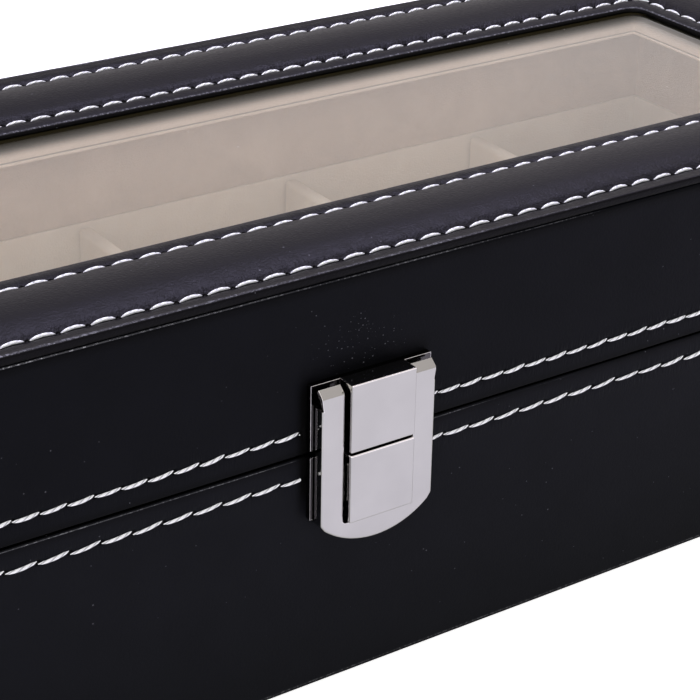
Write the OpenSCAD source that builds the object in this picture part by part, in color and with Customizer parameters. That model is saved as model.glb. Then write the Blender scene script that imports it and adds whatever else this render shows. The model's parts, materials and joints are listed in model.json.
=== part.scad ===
// Watch box: leather-covered board box with a glazed hinged lid, a push-button clasp,
// a velvet-lined room of six compartments and six loose watch cushions.
// Millimetres. +Z up, front at -Y, origin on the rest surface under the middle of the box.

/* [Box] */
// Outer length of the box, left to right
box_l = 300; // [260:1:360]
// Outer depth of the box, front to back
box_d = 107; // [100:1:150]
// Height of the base, up to the parting line
base_h = 45; // [42:1:80]
// Height of the lid, from the parting line up to the stitched top
lid_h = 30.6; // [29:0.2:50]
// Gap between the rims of the base and the closed lid
parting_gap = 0.4; // [0.3:0.1:0.8]
// Radius of the upright corners
corner_r = 2.5; // [1.5:0.1:4]

/* [Walls] */
// Thickness of the wall boards
board_t = 6; // [5.5:0.1:8]
// Thickness of the bottom board
bottom_t = 3; // [2:0.5:5]
// Thickness of the leather wrap
leather_t = 0.6; // [0.4:0.1:0.8]
// Thickness of the velvet lining
lining_t = 0.8; // [0.4:0.1:1.4]
// Thickness of the felt under the box
felt_t = 0.9; // [0.8:0.1:2]
// Width of the leather turned in under the box
turn_in_w = 10; // [6:1:16]

/* [Glazed top] */
// Width of the padded frame around the glass
frame_w = 25.6; // [24:0.2:30]
// Thickness of the frame rails
rail_t = 6; // [5:0.5:9]
// Thickness of the glass
glass_t = 2; // [1.5:0.1:3]
// How far the glass laps onto the rails
glass_lap = 3; // [2:0.5:5]
// Distance of the outer stitch line from the box side
outer_stitch = 4.2; // [3.6:0.1:5]
// Distance of the inner stitch line from the box side
inner_stitch = 21.4; // [18:0.1:22]
// Rise of the padding between the two stitch lines
crown_h = 1.7; // [1:0.1:3]
// Rise of the rolled outer edge above the stitch line
roll_h = 0.8; // [0.4:0.1:1.2]
// How far the rolled edge stands out from the box side
roll_out = 0.4; // [0:0.1:0.6]
// Rise of the narrow border beside the glass
border_h = 0.5; // [0.2:0.1:1]

/* [Compartments] */
// Thickness of a divider
divider_t = 3; // [2:0.5:5]
// How far the dividers stop below the base rim
divider_drop = 0.5; // [0:0.1:6]
// Height of a watch cushion
cushion_h = 35; // [24:1:36]
// Room beside a cushion, on each side
cushion_side_gap = 0.8; // [0.4:0.1:2]
// Room in front of and behind a cushion
cushion_end_gap = 3; // [2:0.5:8]
// Radius of a cushion's upper edges
cushion_top_r = 14; // [8:1:16]
// Radius of a cushion's lower edges
cushion_low_r = 7; // [3:1:8]

/* [Clasp] */
// Width of the clasp's back plates
plate_w = 23.2; // [22.6:0.2:26]
// Height of the base plate of the clasp
base_plate_h = 11.5; // [11:0.1:12]
// Height of the lid plate of the clasp
lid_plate_h = 11.7; // [11.6:0.1:13]
// Thickness of the back plates
plate_t = 1.2; // [1:0.1:1.3]
// Width of the clasp cover
cover_w = 21.9; // [21.6:0.1:22.2]
// Thickness of the cover's sheet metal
cover_t = 0.8; // [0.5:0.1:0.8]
// How far the cover's face stands out from the leather
cover_out = 3.6; // [3.5:0.1:4]
// Height of the curved lower edge of the cover
cover_bow = 4.5; // [3:0.1:5]
// Width of the button and of the striker above it
button_w = 12.4; // [12:0.1:12.6]
// How far the button and the striker stand out from the leather
button_out = 4.9; // [4.8:0.1:5.4]
// Gap between the button and the cover's arms
button_gap = 0.6; // [0.4:0.1:0.7]
// Travel of the button
button_travel = 1.2; // [0.8:0.1:1.2]

/* [Hinges] */
// Length of a hinge along the box
hinge_l = 25; // [20:1:35]
// Distance of a hinge's middle from the end of the box
hinge_inset = 60; // [40:1:90]
// Radius of a hinge knuckle
knuckle_r = 2; // [1.8:0.1:2.6]
// Radius of the hinge pin
pin_r = 1; // [0.8:0.05:1.2]
// Thickness of a hinge leaf
leaf_t = 0.8; // [0.6:0.1:1]
// Length of a hinge screw
screw_l = 8; // [6:0.5:12]

/* [Hidden] */

$fn = 48;
cut = 1;                     // how far a cutting solid runs past a face
fit = 0.02;                  // radial clearance of a nail, screw or pin that is driven in
running_fit = 0.04;          // radial clearance of a part that turns on the hinge pin
slip = 0.2;                  // clearance beside a part laid into a pocket or rebate
slots = 6;                   // compartments in the row

LEATHER = "#1d1e22";
PADDED = "#38373d";
VELVET = "#c8bca6";
NICKEL = "#bfbdc0";
BOARD = "#b48c5e";

// Planes and outlines that several pieces share
front_y = -box_d / 2;
back_y = box_d / 2;
lid_z = base_h + parting_gap;
stitch_z = lid_z + lid_h;
edge_t = 0.6;                              // the padded cover's thickness at its outer edge
wrap_top = stitch_z - edge_t;
rail_top = wrap_top - leather_t;
rail_low = rail_top - rail_t;
floor_z = felt_t + bottom_t;
board_l = box_l - 2 * leather_t;
board_d = box_d - 2 * leather_t;
inner_l = board_l - 2 * board_t;
inner_d = board_d - 2 * board_t;
room_l = inner_l - 2 * lining_t;
room_d = inner_d - 2 * lining_t;
room_floor = floor_z + lining_t;
window_l = box_l - 2 * frame_w;
window_d = box_d - 2 * frame_w;
glass_play = 0.1;                          // gap between the glass and the padded cover
glass_low = rail_top - glass_play - glass_t;

// Compartments
slot_w = (room_l - (slots - 1) * divider_t) / slots;
slot_pitch = slot_w + divider_t;
cushion_w = slot_w - 2 * cushion_side_gap;
cushion_d = room_d - 2 * cushion_end_gap;

// Clasp: places are heights above the rest surface and distances out from the leather
plate_rise = 0.2;                          // the base plate stands this far above the rim
lid_plate_gap = 1.1;                       // from the lid's rim up to its plate
cover_hang = 5.3;                          // the cover's curve reaches this far below its plate
arm_drop = 1.8;                            // from the top of the lid plate down to the arms
slot_hang = 1.1;                           // the cover's slot ends this far below the plate
button_rise = 0.7;                         // the button stands this far above the base's rim
block_gap = 0.5;                           // between the button and the striker above it
striker_rise = 0.2;                        // the striker stands this far above its plate
base_plate_top = base_h + plate_rise;
base_plate_low = base_plate_top - base_plate_h;
lid_plate_low = lid_z + lid_plate_gap;
lid_plate_top = lid_plate_low + lid_plate_h;
cover_back = cover_out - cover_t;
cover_low = base_plate_low - cover_hang;
cover_arm_top = lid_plate_top - arm_drop;
cover_bow_r = (pow(cover_w / 2, 2) + pow(cover_bow, 2)) / (2 * cover_bow);
cover_slot_w = button_w + 2 * button_gap;
cover_slot_low = base_plate_low - slot_hang;
flange_gap = 0.3;                          // between the back plates and the cover's edges
foot_inset = 0.5;                          // the cover's feet end this far inside the plate
bend_back = 1.5;                           // how far the arms' tops lean back
bend_rise = 0.9;                           // how far the arms' tops rise above the bend
bend_low = 0.3;                            // height of the bend's outer corner
notch_h = 2;                               // relief below the bend in the cover's edges
button_low = cover_slot_low + button_gap;
button_top = base_h + button_rise;
striker_low = button_top + block_gap;
striker_top = lid_plate_top + striker_rise;
pad_t = 1.3;                               // thickness of the button's face
button_lip_w = 1.2;                        // how far the button's lip reaches behind the cover
button_lip_t = 0.6;
button_lip_out = cover_back - slip - button_lip_t;
button_leg_w = 1.3;
button_leg_low = base_plate_low + 2.3;
button_leg_top = base_h - 2;
web_out = -1.4;                            // inner face of the web that joins the button's legs
web_t = 1;
catch_gap = 0.3;                           // the catch stops this far short of the tongue
tongue_w = 8.8;
tongue_t = 0.8;
tongue_low = base_plate_low + 3.8;
window_w = tongue_w / 2 + 0.6;             // width of the catch's window in the tongue
catch_w = tongue_w / 2 - 0.6;
catch_low = tongue_low + 1.6;
catch_h = 1.8;
catch_play = 0.5;                          // room above and below the catch in its window
pocket_depth = 4.6;                        // depth of the spring pocket below the leather
pocket_gap = 0.7;
plate_border = 3.9;                        // width of the base plate beside its opening
nail_r = 0.7;
nail_head_r = 1;
nail_head_t = 0.4;
nail_l = 6;
nail_inset = 2.7;
nail_edge = 2;
spring_wire_r = 0.3;
spring_r = 1.7;
spring_turns = 3;

// Hinges
axis_y = back_y + knuckle_r + 0.3;
axis_z = base_h + parting_gap / 2;
leaf_gap = 0.2;
leaf_reach = 5.4;
knuckle_l = hinge_l * 0.3;
knuckle_gap = 0.3;
screw_r = 0.8;
screw_head_r = 1.7;
screw_inset = 3.2;
screw_spread = hinge_l * 0.6;

// ---- Shapes that repeat ----

module rounded_rect(l, d, r) {
    square([l - 2 * r, d], center = true);
    square([l, d - 2 * r], center = true);
    for (sx = [-1, 1], sy = [-1, 1])
        translate([sx * (l / 2 - r), sy * (d / 2 - r)]) circle(r);
}

// A flat-ended block between two heights, rounded at its upright corners
module slab(l, d, r, z0, z1) {
    translate([0, 0, z0]) linear_extrude(z1 - z0) rounded_rect(l, d, r);
}

// A square-cornered block between two heights
module block(l, d, z0, z1) {
    translate([-l / 2, -d / 2, z0]) cube([l, d, z1 - z0]);
}

// A board standing between two corners
module upright(x0, x1, y0, y1, z0, z1) {
    translate([x0, y0, z0]) cube([x1 - x0, y1 - y0, z1 - z0]);
}

// An outline drawn in X and Z, from out0 to out1 in front of the leather
module on_front(out0, out1) {
    translate([0, front_y - out0, 0]) rotate([90, 0, 0]) linear_extrude(out1 - out0) children();
}

// A rectangle in X and Z, centred on the clasp
module face(w, z0, z1) {
    polygon([[-w / 2, z0], [w / 2, z0], [w / 2, z1], [-w / 2, z1]]);
}

// A closed profile of (distance in from the box side, height) run round all four sides with
// mitred corners
module mitred_frame(profile) {
    n = len(profile);
    corners = [[-1, -1], [1, -1], [1, 1], [-1, 1]];
    points = [for (c = corners, p = profile)
                  [c[0] * (box_l / 2 - p[0]), c[1] * (box_d / 2 - p[0]), p[1]]];
    faces = [for (k = [0:3], i = [0:n - 1])
                 let (a = k * n, b = (k + 1) % 4 * n, j = (i + 1) % n)
                 [a + i, a + j, b + j, b + i]];
    polyhedron(points, faces);
}

// The four walls of one half of the box, as the outline that a board is cut from
module wall_outline(z0, z1) {
    slab(board_l, board_d, corner_r - leather_t, z0, z1);
}

module wall_board(x0, x1, y0, y1, z0, z1) {
    color(BOARD) intersection() {
        upright(x0, x1, y0, y1, z0, z1);
        wall_outline(z0, z1);
    }
}

module front_wall(z0, z1) {
    wall_board(-board_l / 2, board_l / 2, -board_d / 2, -inner_d / 2, z0, z1);
}

module back_wall(z0, z1) {
    wall_board(-board_l / 2, board_l / 2, inner_d / 2, board_d / 2, z0, z1);
}

module end_wall(side, z0, z1) {
    x0 = side < 0 ? -board_l / 2 : inner_l / 2;
    wall_board(x0, x0 + board_t, -inner_d / 2, inner_d / 2, z0, z1);
}

// ---- Base ----

base_board_top = base_h - leather_t;

module base_felt() {
    color("#26262a") block(box_l - 2 * turn_in_w - 2 * slip, box_d - 2 * turn_in_w - 2 * slip,
                           0, felt_t);
}

module base_bottom_board() {
    color(BOARD) wall_outline(felt_t, floor_z);
}

module base_front_board() {
    difference() {
        front_wall(floor_z, base_board_top);
        button_pocket();
        nail_holes(base_nail_heights());
    }
}

module base_back_board() {
    difference() {
        back_wall(floor_z, base_board_top);
        hinge_pockets(-1);
        screw_holes(-1);
    }
}

// The wrap: sides, the rim turned over the boards, and the edge turned in underneath
module base_leather() {
    color(LEATHER) difference() {
        slab(box_l, box_d, corner_r, felt_t - leather_t, base_h);
        slab(board_l, board_d, corner_r - leather_t, felt_t, base_board_top);
        block(inner_l, inner_d, base_board_top - cut, base_h + cut);
        block(box_l - 2 * turn_in_w, box_d - 2 * turn_in_w, -cut, felt_t + cut);
        button_pocket();
        nail_holes(base_nail_heights());
        hinge_pockets(-1);
    }
}

module base_wall_lining() {
    color(VELVET) difference() {
        block(inner_l, inner_d, room_floor, base_h - slip);
        block(room_l, room_d, room_floor - cut, base_h + cut);
    }
}

module base_floor_lining() {
    color(VELVET) block(inner_l, inner_d, floor_z, room_floor);
}

module divider(n) {
    color(VELVET) translate([(n - slots / 2) * slot_pitch, 0, 0])
        block(divider_t, room_d - 2 * slip, room_floor, base_h - divider_drop);
}

module cushion(n) {
    y = cushion_d / 2;
    z0 = room_floor;
    z1 = room_floor + cushion_h;
    color(VELVET)
        translate([(n - (slots + 1) / 2) * slot_pitch - cushion_w / 2, 0, 0])
            rotate([90, 0, 90]) linear_extrude(cushion_w) {
                for (s = [-1, 1]) {
                    translate([s * (y - cushion_top_r), z1 - cushion_top_r]) circle(cushion_top_r);
                    translate([s * (y - cushion_low_r), z0 + cushion_low_r]) circle(cushion_low_r);
                }
                translate([cushion_top_r - y, z0 + cushion_low_r])
                    square([2 * (y - cushion_top_r), cushion_h - cushion_low_r]);
                translate([cushion_low_r - y, z0]) square([2 * (y - cushion_low_r), cushion_low_r]);
                translate([-y, z0 + cushion_low_r])
                    square([2 * y, cushion_h - cushion_low_r - cushion_top_r]);
            }
}

// ---- Lid ----

lid_board_low = lid_z + leather_t;

module lid_front_board() {
    difference() {
        front_wall(lid_board_low, rail_low);
        nail_holes(lid_nail_heights());
    }
}

module lid_back_board() {
    difference() {
        back_wall(lid_board_low, rail_low);
        hinge_pockets(1);
        screw_holes(1);
    }
}

module lid_leather() {
    color(LEATHER) difference() {
        slab(box_l, box_d, corner_r, lid_z, wrap_top);
        slab(board_l, board_d, corner_r - leather_t, lid_board_low, rail_top);
        block(inner_l, inner_d, lid_z - cut, lid_board_low + cut);
        block(box_l - 2 * outer_stitch, box_d - 2 * outer_stitch, rail_top - cut, wrap_top + cut);
        nail_holes(lid_nail_heights());
        hinge_pockets(1);
    }
}

module lid_wall_lining() {
    color(VELVET) difference() {
        block(inner_l, inner_d, lid_z + slip, rail_low - lining_t);
        block(room_l, room_d, lid_z - cut, rail_low);
    }
}

// Covers the underside of the rails and turns up along their inner edge to the glass
module frame_lining() {
    color(VELVET) difference() {
        union() {
            block(inner_l, inner_d, rail_low - lining_t, rail_low);
            block(window_l + 2 * lining_t, window_d + 2 * lining_t, rail_low - cut / 2, glass_low);
        }
        block(window_l, window_d, rail_low - lining_t - cut, glass_low + cut);
    }
}

module rebate() {
    block(window_l + 2 * (glass_lap + slip), window_d + 2 * (glass_lap + slip),
          glass_low, rail_top + cut);
}

rail_inner = frame_w - lining_t;

module frame_rail(x0, x1, y0, y1) {
    color(BOARD) difference() {
        intersection() {
            upright(x0, x1, y0, y1, rail_low, rail_top);
            wall_outline(rail_low, rail_top);
        }
        rebate();
    }
}

module long_rail(side) {
    y0 = side < 0 ? -board_d / 2 : box_d / 2 - rail_inner;
    frame_rail(-board_l / 2, board_l / 2, y0, y0 + rail_inner - leather_t);
}

module short_rail(side) {
    x0 = side < 0 ? -board_l / 2 : box_l / 2 - rail_inner;
    frame_rail(x0, x0 + rail_inner - leather_t, rail_inner - box_d / 2, box_d / 2 - rail_inner);
}

module glass_pane() {
    color([0.8, 0.85, 0.85, 0.35])
        block(window_l + 2 * glass_lap, window_d + 2 * glass_lap, glass_low, glass_low + glass_t);
}

// Height of the padded cover's skin between the stitch lines
function crown_at(u) =
    stitch_z + crown_h * sin(180 * (u - outer_stitch) / (inner_stitch - outer_stitch));

crown_steps = 12;
foam_inset = 1;

function crown_points(inset, drop) = [
    for (i = [0:crown_steps])
        let (u = outer_stitch + inset
                 + (inner_stitch - outer_stitch - 2 * inset) * i / crown_steps)
        [u, crown_at(u) - drop]
];

function foam_profile() =
    concat([[outer_stitch + foam_inset, rail_top]], crown_points(foam_inset, leather_t),
           [[inner_stitch - foam_inset, rail_top]]);

function reversed(list) = [for (i = [len(list) - 1:-1:0]) list[i]];

module frame_foam() {
    color("#e8e4da") mitred_frame(foam_profile());
}

// The padded cover: rolled outer edge, stitch valley, crown, stitch valley, border, window edge
module frame_leather() {
    roll_r = roll_h * 0.9;
    border_w = frame_w - inner_stitch;
    border_points = [
        for (i = [1:6])
            [inner_stitch + border_w * i / 6, stitch_z + border_h * sin(150 * i / 6)]
    ];
    roll_points = [
        for (a = [200:-20:90])
            [roll_r - roll_out + roll_r * cos(a),
             stitch_z + roll_h - roll_r + (a > 180 ? 1.6 : 1) * roll_r * sin(a)]
    ];
    color(PADDED) intersection() {
        mitred_frame(concat([[leather_t, wrap_top]], roll_points,
                            [[(outer_stitch + roll_r) / 2, stitch_z + roll_h * 0.9]],
                            crown_points(0, 0), border_points, [[frame_w, rail_top]],
                            reversed(foam_profile()),
                            [[outer_stitch, rail_top], [outer_stitch, wrap_top]]));
        slab(box_l + 2 * roll_out, box_d + 2 * roll_out, corner_r + roll_out,
             rail_top - cut, stitch_z + crown_h + cut);
    }
}

// ---- Clasp ----

function base_nail_heights() = [base_plate_low + nail_edge, base_plate_top - nail_edge];
function lid_nail_heights() = [lid_plate_low + nail_inset, lid_plate_top - nail_inset];

module at_nails(heights) {
    for (sx = [-1, 1], z = heights)
        translate([sx * (plate_w / 2 - nail_inset), front_y, z]) rotate([90, 0, 0]) children();
}

module nails(heights) {
    color(NICKEL) at_nails(heights) {
        translate([0, 0, plate_t - nail_l]) cylinder(r = nail_r, h = nail_l + nail_head_t / 2);
        translate([0, 0, plate_t]) cylinder(r = nail_head_r, h = nail_head_t);
    }
}

module nail_holes(heights) {
    at_nails(heights) translate([0, 0, plate_t - nail_l - fit])
        cylinder(r = nail_r + fit, h = nail_l + cut);
}

// Room behind the clasp for the button's legs, web and spring
module button_pocket() {
    translate([0, front_y + pocket_depth, 0]) rotate([90, 0, 0])
        linear_extrude(pocket_depth + cut)
            face(button_w + 2 * pocket_gap, button_leg_low - pocket_gap,
                 button_leg_top + pocket_gap);
}

module clasp_base_plate() {
    color(NICKEL) difference() {
        on_front(0, plate_t) difference() {
            face(plate_w, base_plate_low, base_plate_top);
            face(plate_w - 2 * plate_border, base_plate_low + 1.5, base_plate_top + cut);
        }
        nail_holes(base_nail_heights());
    }
}

module clasp_lid_plate() {
    color(NICKEL) difference() {
        on_front(0, plate_t) face(plate_w, lid_plate_low, lid_plate_top);
        nail_holes(lid_nail_heights());
    }
}

// Outline of the cover without its slot, shrunk by a margin on the sides and the curve
module cover_outline(margin) {
    middle = cover_low + cover_bow_r;
    intersection() {
        face(cover_w - 2 * margin, cover_low, cover_arm_top);
        union() {
            translate([0, middle]) circle(cover_bow_r - margin, $fn = 96);
            face(cover_w, min(middle, cover_arm_top - cut), cover_arm_top);
        }
    }
}

// U-shaped stamped cover: face, returned edges, feet on the base plate, bent arm tops
module clasp_cover() {
    arm_w = (cover_w - cover_slot_w) / 2;
    flange_back = plate_t + flange_gap;
    color(NICKEL) {
        on_front(cover_back, cover_out) difference() {
            cover_outline(0);
            face(cover_slot_w, cover_slot_low, cover_arm_top + cut);
        }
        on_front(flange_back, cover_out) difference() {
            cover_outline(0);
            cover_outline(cover_t);
            face(cover_w + cut, cover_arm_top - notch_h, cover_arm_top + cut);
        }
        on_front(slip, cover_out) difference() {
            cover_outline(0);
            cover_outline(cover_t);
            face(cover_w + cut, base_plate_low - flange_gap, cover_arm_top + cut);
        }
        for (s = [-1, 1]) {
            on_front(plate_t, cover_out)
                translate([s * (cover_w - cover_t) / 2, 0])
                    face(cover_t, base_plate_low + foot_inset, base_plate_top - foot_inset);
            translate([s * (cover_w - arm_w) / 2 - arm_w / 2, front_y, cover_arm_top])
                rotate([90, 0, 90]) linear_extrude(arm_w)
                    polygon([[-cover_back, -cover_t], [-cover_out, -cover_t], [-cover_out, 0],
                             [-cover_out + bend_low / 2, bend_low],
                             [-cover_out + bend_back, bend_rise],
                             [-cover_out + bend_back + cover_t / 3, bend_rise - cover_t * 0.8],
                             [-cover_back, 0]]);
        }
    }
}

// Lid half of the clasp: the block between the cover's arms and its tongue with a catch window
module clasp_striker() {
    color(NICKEL) {
        on_front(plate_t, button_out) face(button_w, striker_low, striker_top);
        on_front(plate_t, plate_t + tongue_t) difference() {
            face(tongue_w, tongue_low, striker_low + tongue_t);
            face(window_w, catch_low - catch_play, catch_low + catch_h + catch_play);
        }
    }
}

// Push button: face, skirt, lips behind the cover, two legs, the web and its catch
module clasp_button() {
    face_back = button_out - pad_t;
    skirt_back = plate_t + button_travel + slip;
    color(NICKEL) {
        on_front(face_back, button_out) face(button_w, button_low, button_top);
        on_front(skirt_back, button_out) difference() {
            face(button_w, button_low, button_top);
            face(button_w - 2 * button_leg_w, button_low + cut, button_top + cut);
        }
        for (s = [-1, 1]) {
            on_front(web_out, button_out)
                translate([s * (button_w - button_leg_w) / 2, 0])
                    face(button_leg_w, button_leg_low, button_leg_top);
            on_front(button_lip_out, cover_back - slip)
                translate([s * (button_w + button_lip_w - button_leg_w) / 2, 0])
                    face(button_leg_w + button_lip_w, button_leg_low, button_leg_top);
        }
        on_front(web_out, web_out + web_t) face(button_w, button_leg_low, button_leg_top);
        on_front(web_out, plate_t - catch_gap)
            face(catch_w, catch_low, catch_low + catch_h);
    }
}

// Point on a spring wire: t turns along, a round the wire
function spring_point(t, a, length) =
    let (c = spring_r + spring_wire_r * cos(a))
    [c * cos(360 * t), c * sin(360 * t),
     spring_wire_r * (1 + sin(a)) + (length - 2 * spring_wire_r) * t / spring_turns];

// Coil spring between the pocket's floor and the button's web
module clasp_spring() {
    sides = 8;
    rings = 16 * spring_turns;
    length = pocket_depth + web_out;
    points = [for (i = [0:rings], j = [0:sides - 1])
                  spring_point(i * spring_turns / rings, -360 * j / sides, length)];
    walls = [for (i = [0:rings - 1], j = [0:sides - 1])
                 let (k = (j + 1) % sides)
                 [i * sides + j, (i + 1) * sides + j, (i + 1) * sides + k, i * sides + k]];
    ends = [[for (j = [0:sides - 1]) j], [for (j = [sides - 1:-1:0]) rings * sides + j]];
    color("#9a9a9c")
        translate([0, front_y + pocket_depth, (button_leg_low + button_leg_top) / 2])
            rotate([90, 0, 0]) polyhedron(points, concat(walls, ends));
}

// ---- Hinges: side is -1 for left and 1 for right, half is -1 for base and 1 for lid ----

module at_hinge(side) {
    translate([side * (box_l / 2 - hinge_inset), 0, 0]) children();
}

// A rod along X on the hinge axis
module axis_rod(r, x0, x1) {
    translate([x0, axis_y, axis_z]) rotate([0, 90, 0]) cylinder(r = r, h = x1 - x0);
}

// Where the lid's middle knuckle ends, and where the base's knuckles begin
lid_knuckle_x = hinge_l / 2 - knuckle_l - knuckle_gap;
base_knuckle_x = hinge_l / 2 - knuckle_l;

function leaf_low(half) = half < 0 ? axis_z - leaf_gap / 2 - leaf_t : axis_z + leaf_gap / 2;

module leaf_plate(half, x0, x1, y1) {
    upright(x0, x1, back_y - leaf_reach, y1, leaf_low(half), leaf_low(half) + leaf_t);
}

module hinge_leaf(side, half) {
    spans = half < 0
        ? [[-hinge_l / 2, -base_knuckle_x], [base_knuckle_x, hinge_l / 2]]
        : [[-lid_knuckle_x, lid_knuckle_x]];
    color(NICKEL) at_hinge(side) difference() {
        union() {
            leaf_plate(half, -hinge_l / 2, hinge_l / 2, back_y);
            for (s = spans) {
                leaf_plate(half, s[0], s[1], axis_y);
                axis_rod(knuckle_r, s[0], s[1]);
            }
        }
        axis_rod(pin_r + (half < 0 ? fit : running_fit), -hinge_l, hinge_l);
        for (sx = [-1, 1]) at_screw(sx, half) screw_shape(fit);
    }
}

module hinge_pin(side) {
    color(NICKEL) at_hinge(side)
        axis_rod(pin_r, -hinge_l / 2 - knuckle_gap, hinge_l / 2 + knuckle_gap);
}

// Screws start at the leaf's inner face and point away from the parting gap
module at_screw(sx, half) {
    translate([sx * screw_spread / 2, back_y - screw_inset, axis_z + half * leaf_gap / 2])
        mirror([0, 0, half < 0 ? 1 : 0]) children();
}

module screw_shape(play) {
    cylinder(r1 = screw_head_r + play, r2 = screw_r + play, h = leaf_t);
    cylinder(r = screw_r + play, h = screw_l + play);
}

module hinge_screws(half) {
    color(NICKEL)
        for (side = [-1, 1], sx = [-1, 1]) at_hinge(side) at_screw(sx, half) screw_shape(0);
}

module screw_holes(half) {
    for (side = [-1, 1], sx = [-1, 1]) at_hinge(side) at_screw(sx, half) screw_shape(fit);
}

// Shallow recess in the rim for a leaf, open at the back
module hinge_pockets(half) {
    for (side = [-1, 1]) at_hinge(side)
        upright(-hinge_l / 2 - slip, hinge_l / 2 + slip, back_y - leaf_reach - slip, back_y + cut,
                half < 0 ? leaf_low(half) : lid_z - cut,
                half < 0 ? base_h + cut : leaf_low(half) + leaf_t);
}

// ---- Nodes ----

base_felt();
base_bottom_board();
base_front_board();
base_back_board();
end_wall(-1, floor_z, base_board_top);  // base_left_board
end_wall(1, floor_z, base_board_top);  // base_right_board
base_leather();
base_wall_lining();
base_floor_lining();
divider(1);  // divider_1
divider(2);  // divider_2
divider(3);  // divider_3
divider(4);  // divider_4
divider(5);  // divider_5
clasp_base_plate();
clasp_cover();
nails(base_nail_heights());  // clasp_base_nails
clasp_spring();
clasp_button();
hinge_leaf(-1, -1);  // left_hinge_base_leaf
hinge_leaf(-1, 1);  // left_hinge_lid_leaf
hinge_pin(-1);  // left_hinge_pin
hinge_leaf(1, -1);  // right_hinge_base_leaf
hinge_leaf(1, 1);  // right_hinge_lid_leaf
hinge_pin(1);  // right_hinge_pin
hinge_screws(-1);  // hinge_base_screws
hinge_screws(1);  // hinge_lid_screws
lid_front_board();
lid_back_board();
end_wall(-1, lid_board_low, rail_low);  // lid_left_board
end_wall(1, lid_board_low, rail_low);  // lid_right_board
long_rail(-1);  // frame_front_rail
long_rail(1);  // frame_back_rail
short_rail(-1);  // frame_left_rail
short_rail(1);  // frame_right_rail
lid_leather();
lid_wall_lining();
frame_lining();
glass_pane();
frame_foam();
frame_leather();
clasp_lid_plate();
clasp_striker();
nails(lid_nail_heights());  // clasp_lid_nails
cushion(1);  // cushion_1
cushion(2);  // cushion_2
cushion(3);  // cushion_3
cushion(4);  // cushion_4
cushion(5);  // cushion_5
cushion(6);  // cushion_6
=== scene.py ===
import json
import math
import bpy
import bmesh
import numpy as np
from mathutils import Matrix, Vector


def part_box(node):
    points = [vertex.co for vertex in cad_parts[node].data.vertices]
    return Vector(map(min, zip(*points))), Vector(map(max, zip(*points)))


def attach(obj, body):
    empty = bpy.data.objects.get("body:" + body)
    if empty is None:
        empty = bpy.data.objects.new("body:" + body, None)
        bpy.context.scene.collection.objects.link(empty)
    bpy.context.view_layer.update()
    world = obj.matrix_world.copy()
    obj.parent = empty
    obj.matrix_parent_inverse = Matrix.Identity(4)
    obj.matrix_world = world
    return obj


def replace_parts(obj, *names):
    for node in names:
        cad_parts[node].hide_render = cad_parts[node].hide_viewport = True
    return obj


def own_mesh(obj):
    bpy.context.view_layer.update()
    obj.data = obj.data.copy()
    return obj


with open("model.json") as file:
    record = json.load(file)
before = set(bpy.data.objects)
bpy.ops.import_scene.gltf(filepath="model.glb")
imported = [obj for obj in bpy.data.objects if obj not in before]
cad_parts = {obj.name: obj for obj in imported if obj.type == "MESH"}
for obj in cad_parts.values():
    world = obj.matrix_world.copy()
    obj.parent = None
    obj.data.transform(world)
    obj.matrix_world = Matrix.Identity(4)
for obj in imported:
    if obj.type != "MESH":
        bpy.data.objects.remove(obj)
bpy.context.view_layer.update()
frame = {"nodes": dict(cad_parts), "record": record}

scene = bpy.context.scene
nodes = frame["nodes"]
bodies = frame["record"]["behaviour"]["bodies"]
MM = 0.001

# ---- Sizes in millimetres, read from the solids where they give them ----

base_low, base_high = (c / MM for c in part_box("base_leather"))
lid_low, lid_high = (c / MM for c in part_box("lid_leather"))
LENGTH, DEPTH = base_high.x - base_low.x, base_high.y - base_low.y
BASE_LOW, BASE_RIM, LID_RIM, WRAP_TOP = base_low.z, base_high.z, lid_low.z, lid_high.z
GLASS_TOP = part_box("glass_pane")[1].z / MM
STITCH_PLANE = WRAP_TOP + 0.4
LEATHER, BOARD, LINING = 0.6, 6.0, 0.8
OUTER_ROW, INNER_ROW, WINDOW = 4.2, 21.4, 25.6   # distances in from the box sides
CORNER, FRAME_CORNER = 2.5, 3.0
FRONT = -DEPTH / 2
LID_ROW, BASE_ROW = 49.4, 41.0          # heights of the side rows of stitching
CORNER_STITCH = 3.6                     # a stitch this near an upright corner is short
SEAT_X, SEAT_Z = (-12.5, 10.9), (33.0, 59.0)       # leather that the clasp covers
BEHIND_CLASP = ((-12.7, FRONT - 2, 36), (10.95, FRONT + 2, 54))
BUTTON_POCKET = ((-6.9, FRONT - 1, 35.3), (6.9, FRONT + 2, 43.7))
HINGE_X, SCREW_PITCH, SCREW_INSET = 90, 15, 3.2    # hinges from the middle, and their screws
LEAF_FLOOR, LEAF_ROOF = 44.3, 46.1      # the room that the hinge leaves lie in
BASE_HEADS, LID_HEADS = 45.1, 45.3      # heights of the hinge screws' heads
COMPARTMENTS = 6
CARD_EDGE = 1.1                         # the round of the velvet on a divider's edges
MOST_SWELL = 4.5                        # how far a pillow's fabric may puff out
PUFF_FRAMES = 20                        # steps of the cloth simulation


# ---- Small tools ----

def linear(hex_colour):
    """An sRGB hex value as the linear colour that a shader takes."""
    parts = [int(hex_colour[i:i + 2], 16) / 255 for i in (1, 3, 5)]
    return [c / 12.92 if c <= 0.04045 else ((c + 0.055) / 1.055) ** 2.4 for c in parts] + [1.0]


def fill(tree, node, links):
    """Sets a node's inputs to values or hex colours, or links them to nodes or their outputs."""
    for key, value in links.items():
        if isinstance(value, str) and value.startswith("#"):
            value = linear(value)
        if isinstance(value, bpy.types.Node):
            value = value.outputs[0]
        if isinstance(value, bpy.types.NodeSocket):
            tree.links.new(value, node.inputs[key])
        else:
            node.inputs[key].default_value = value
    return node


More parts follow.
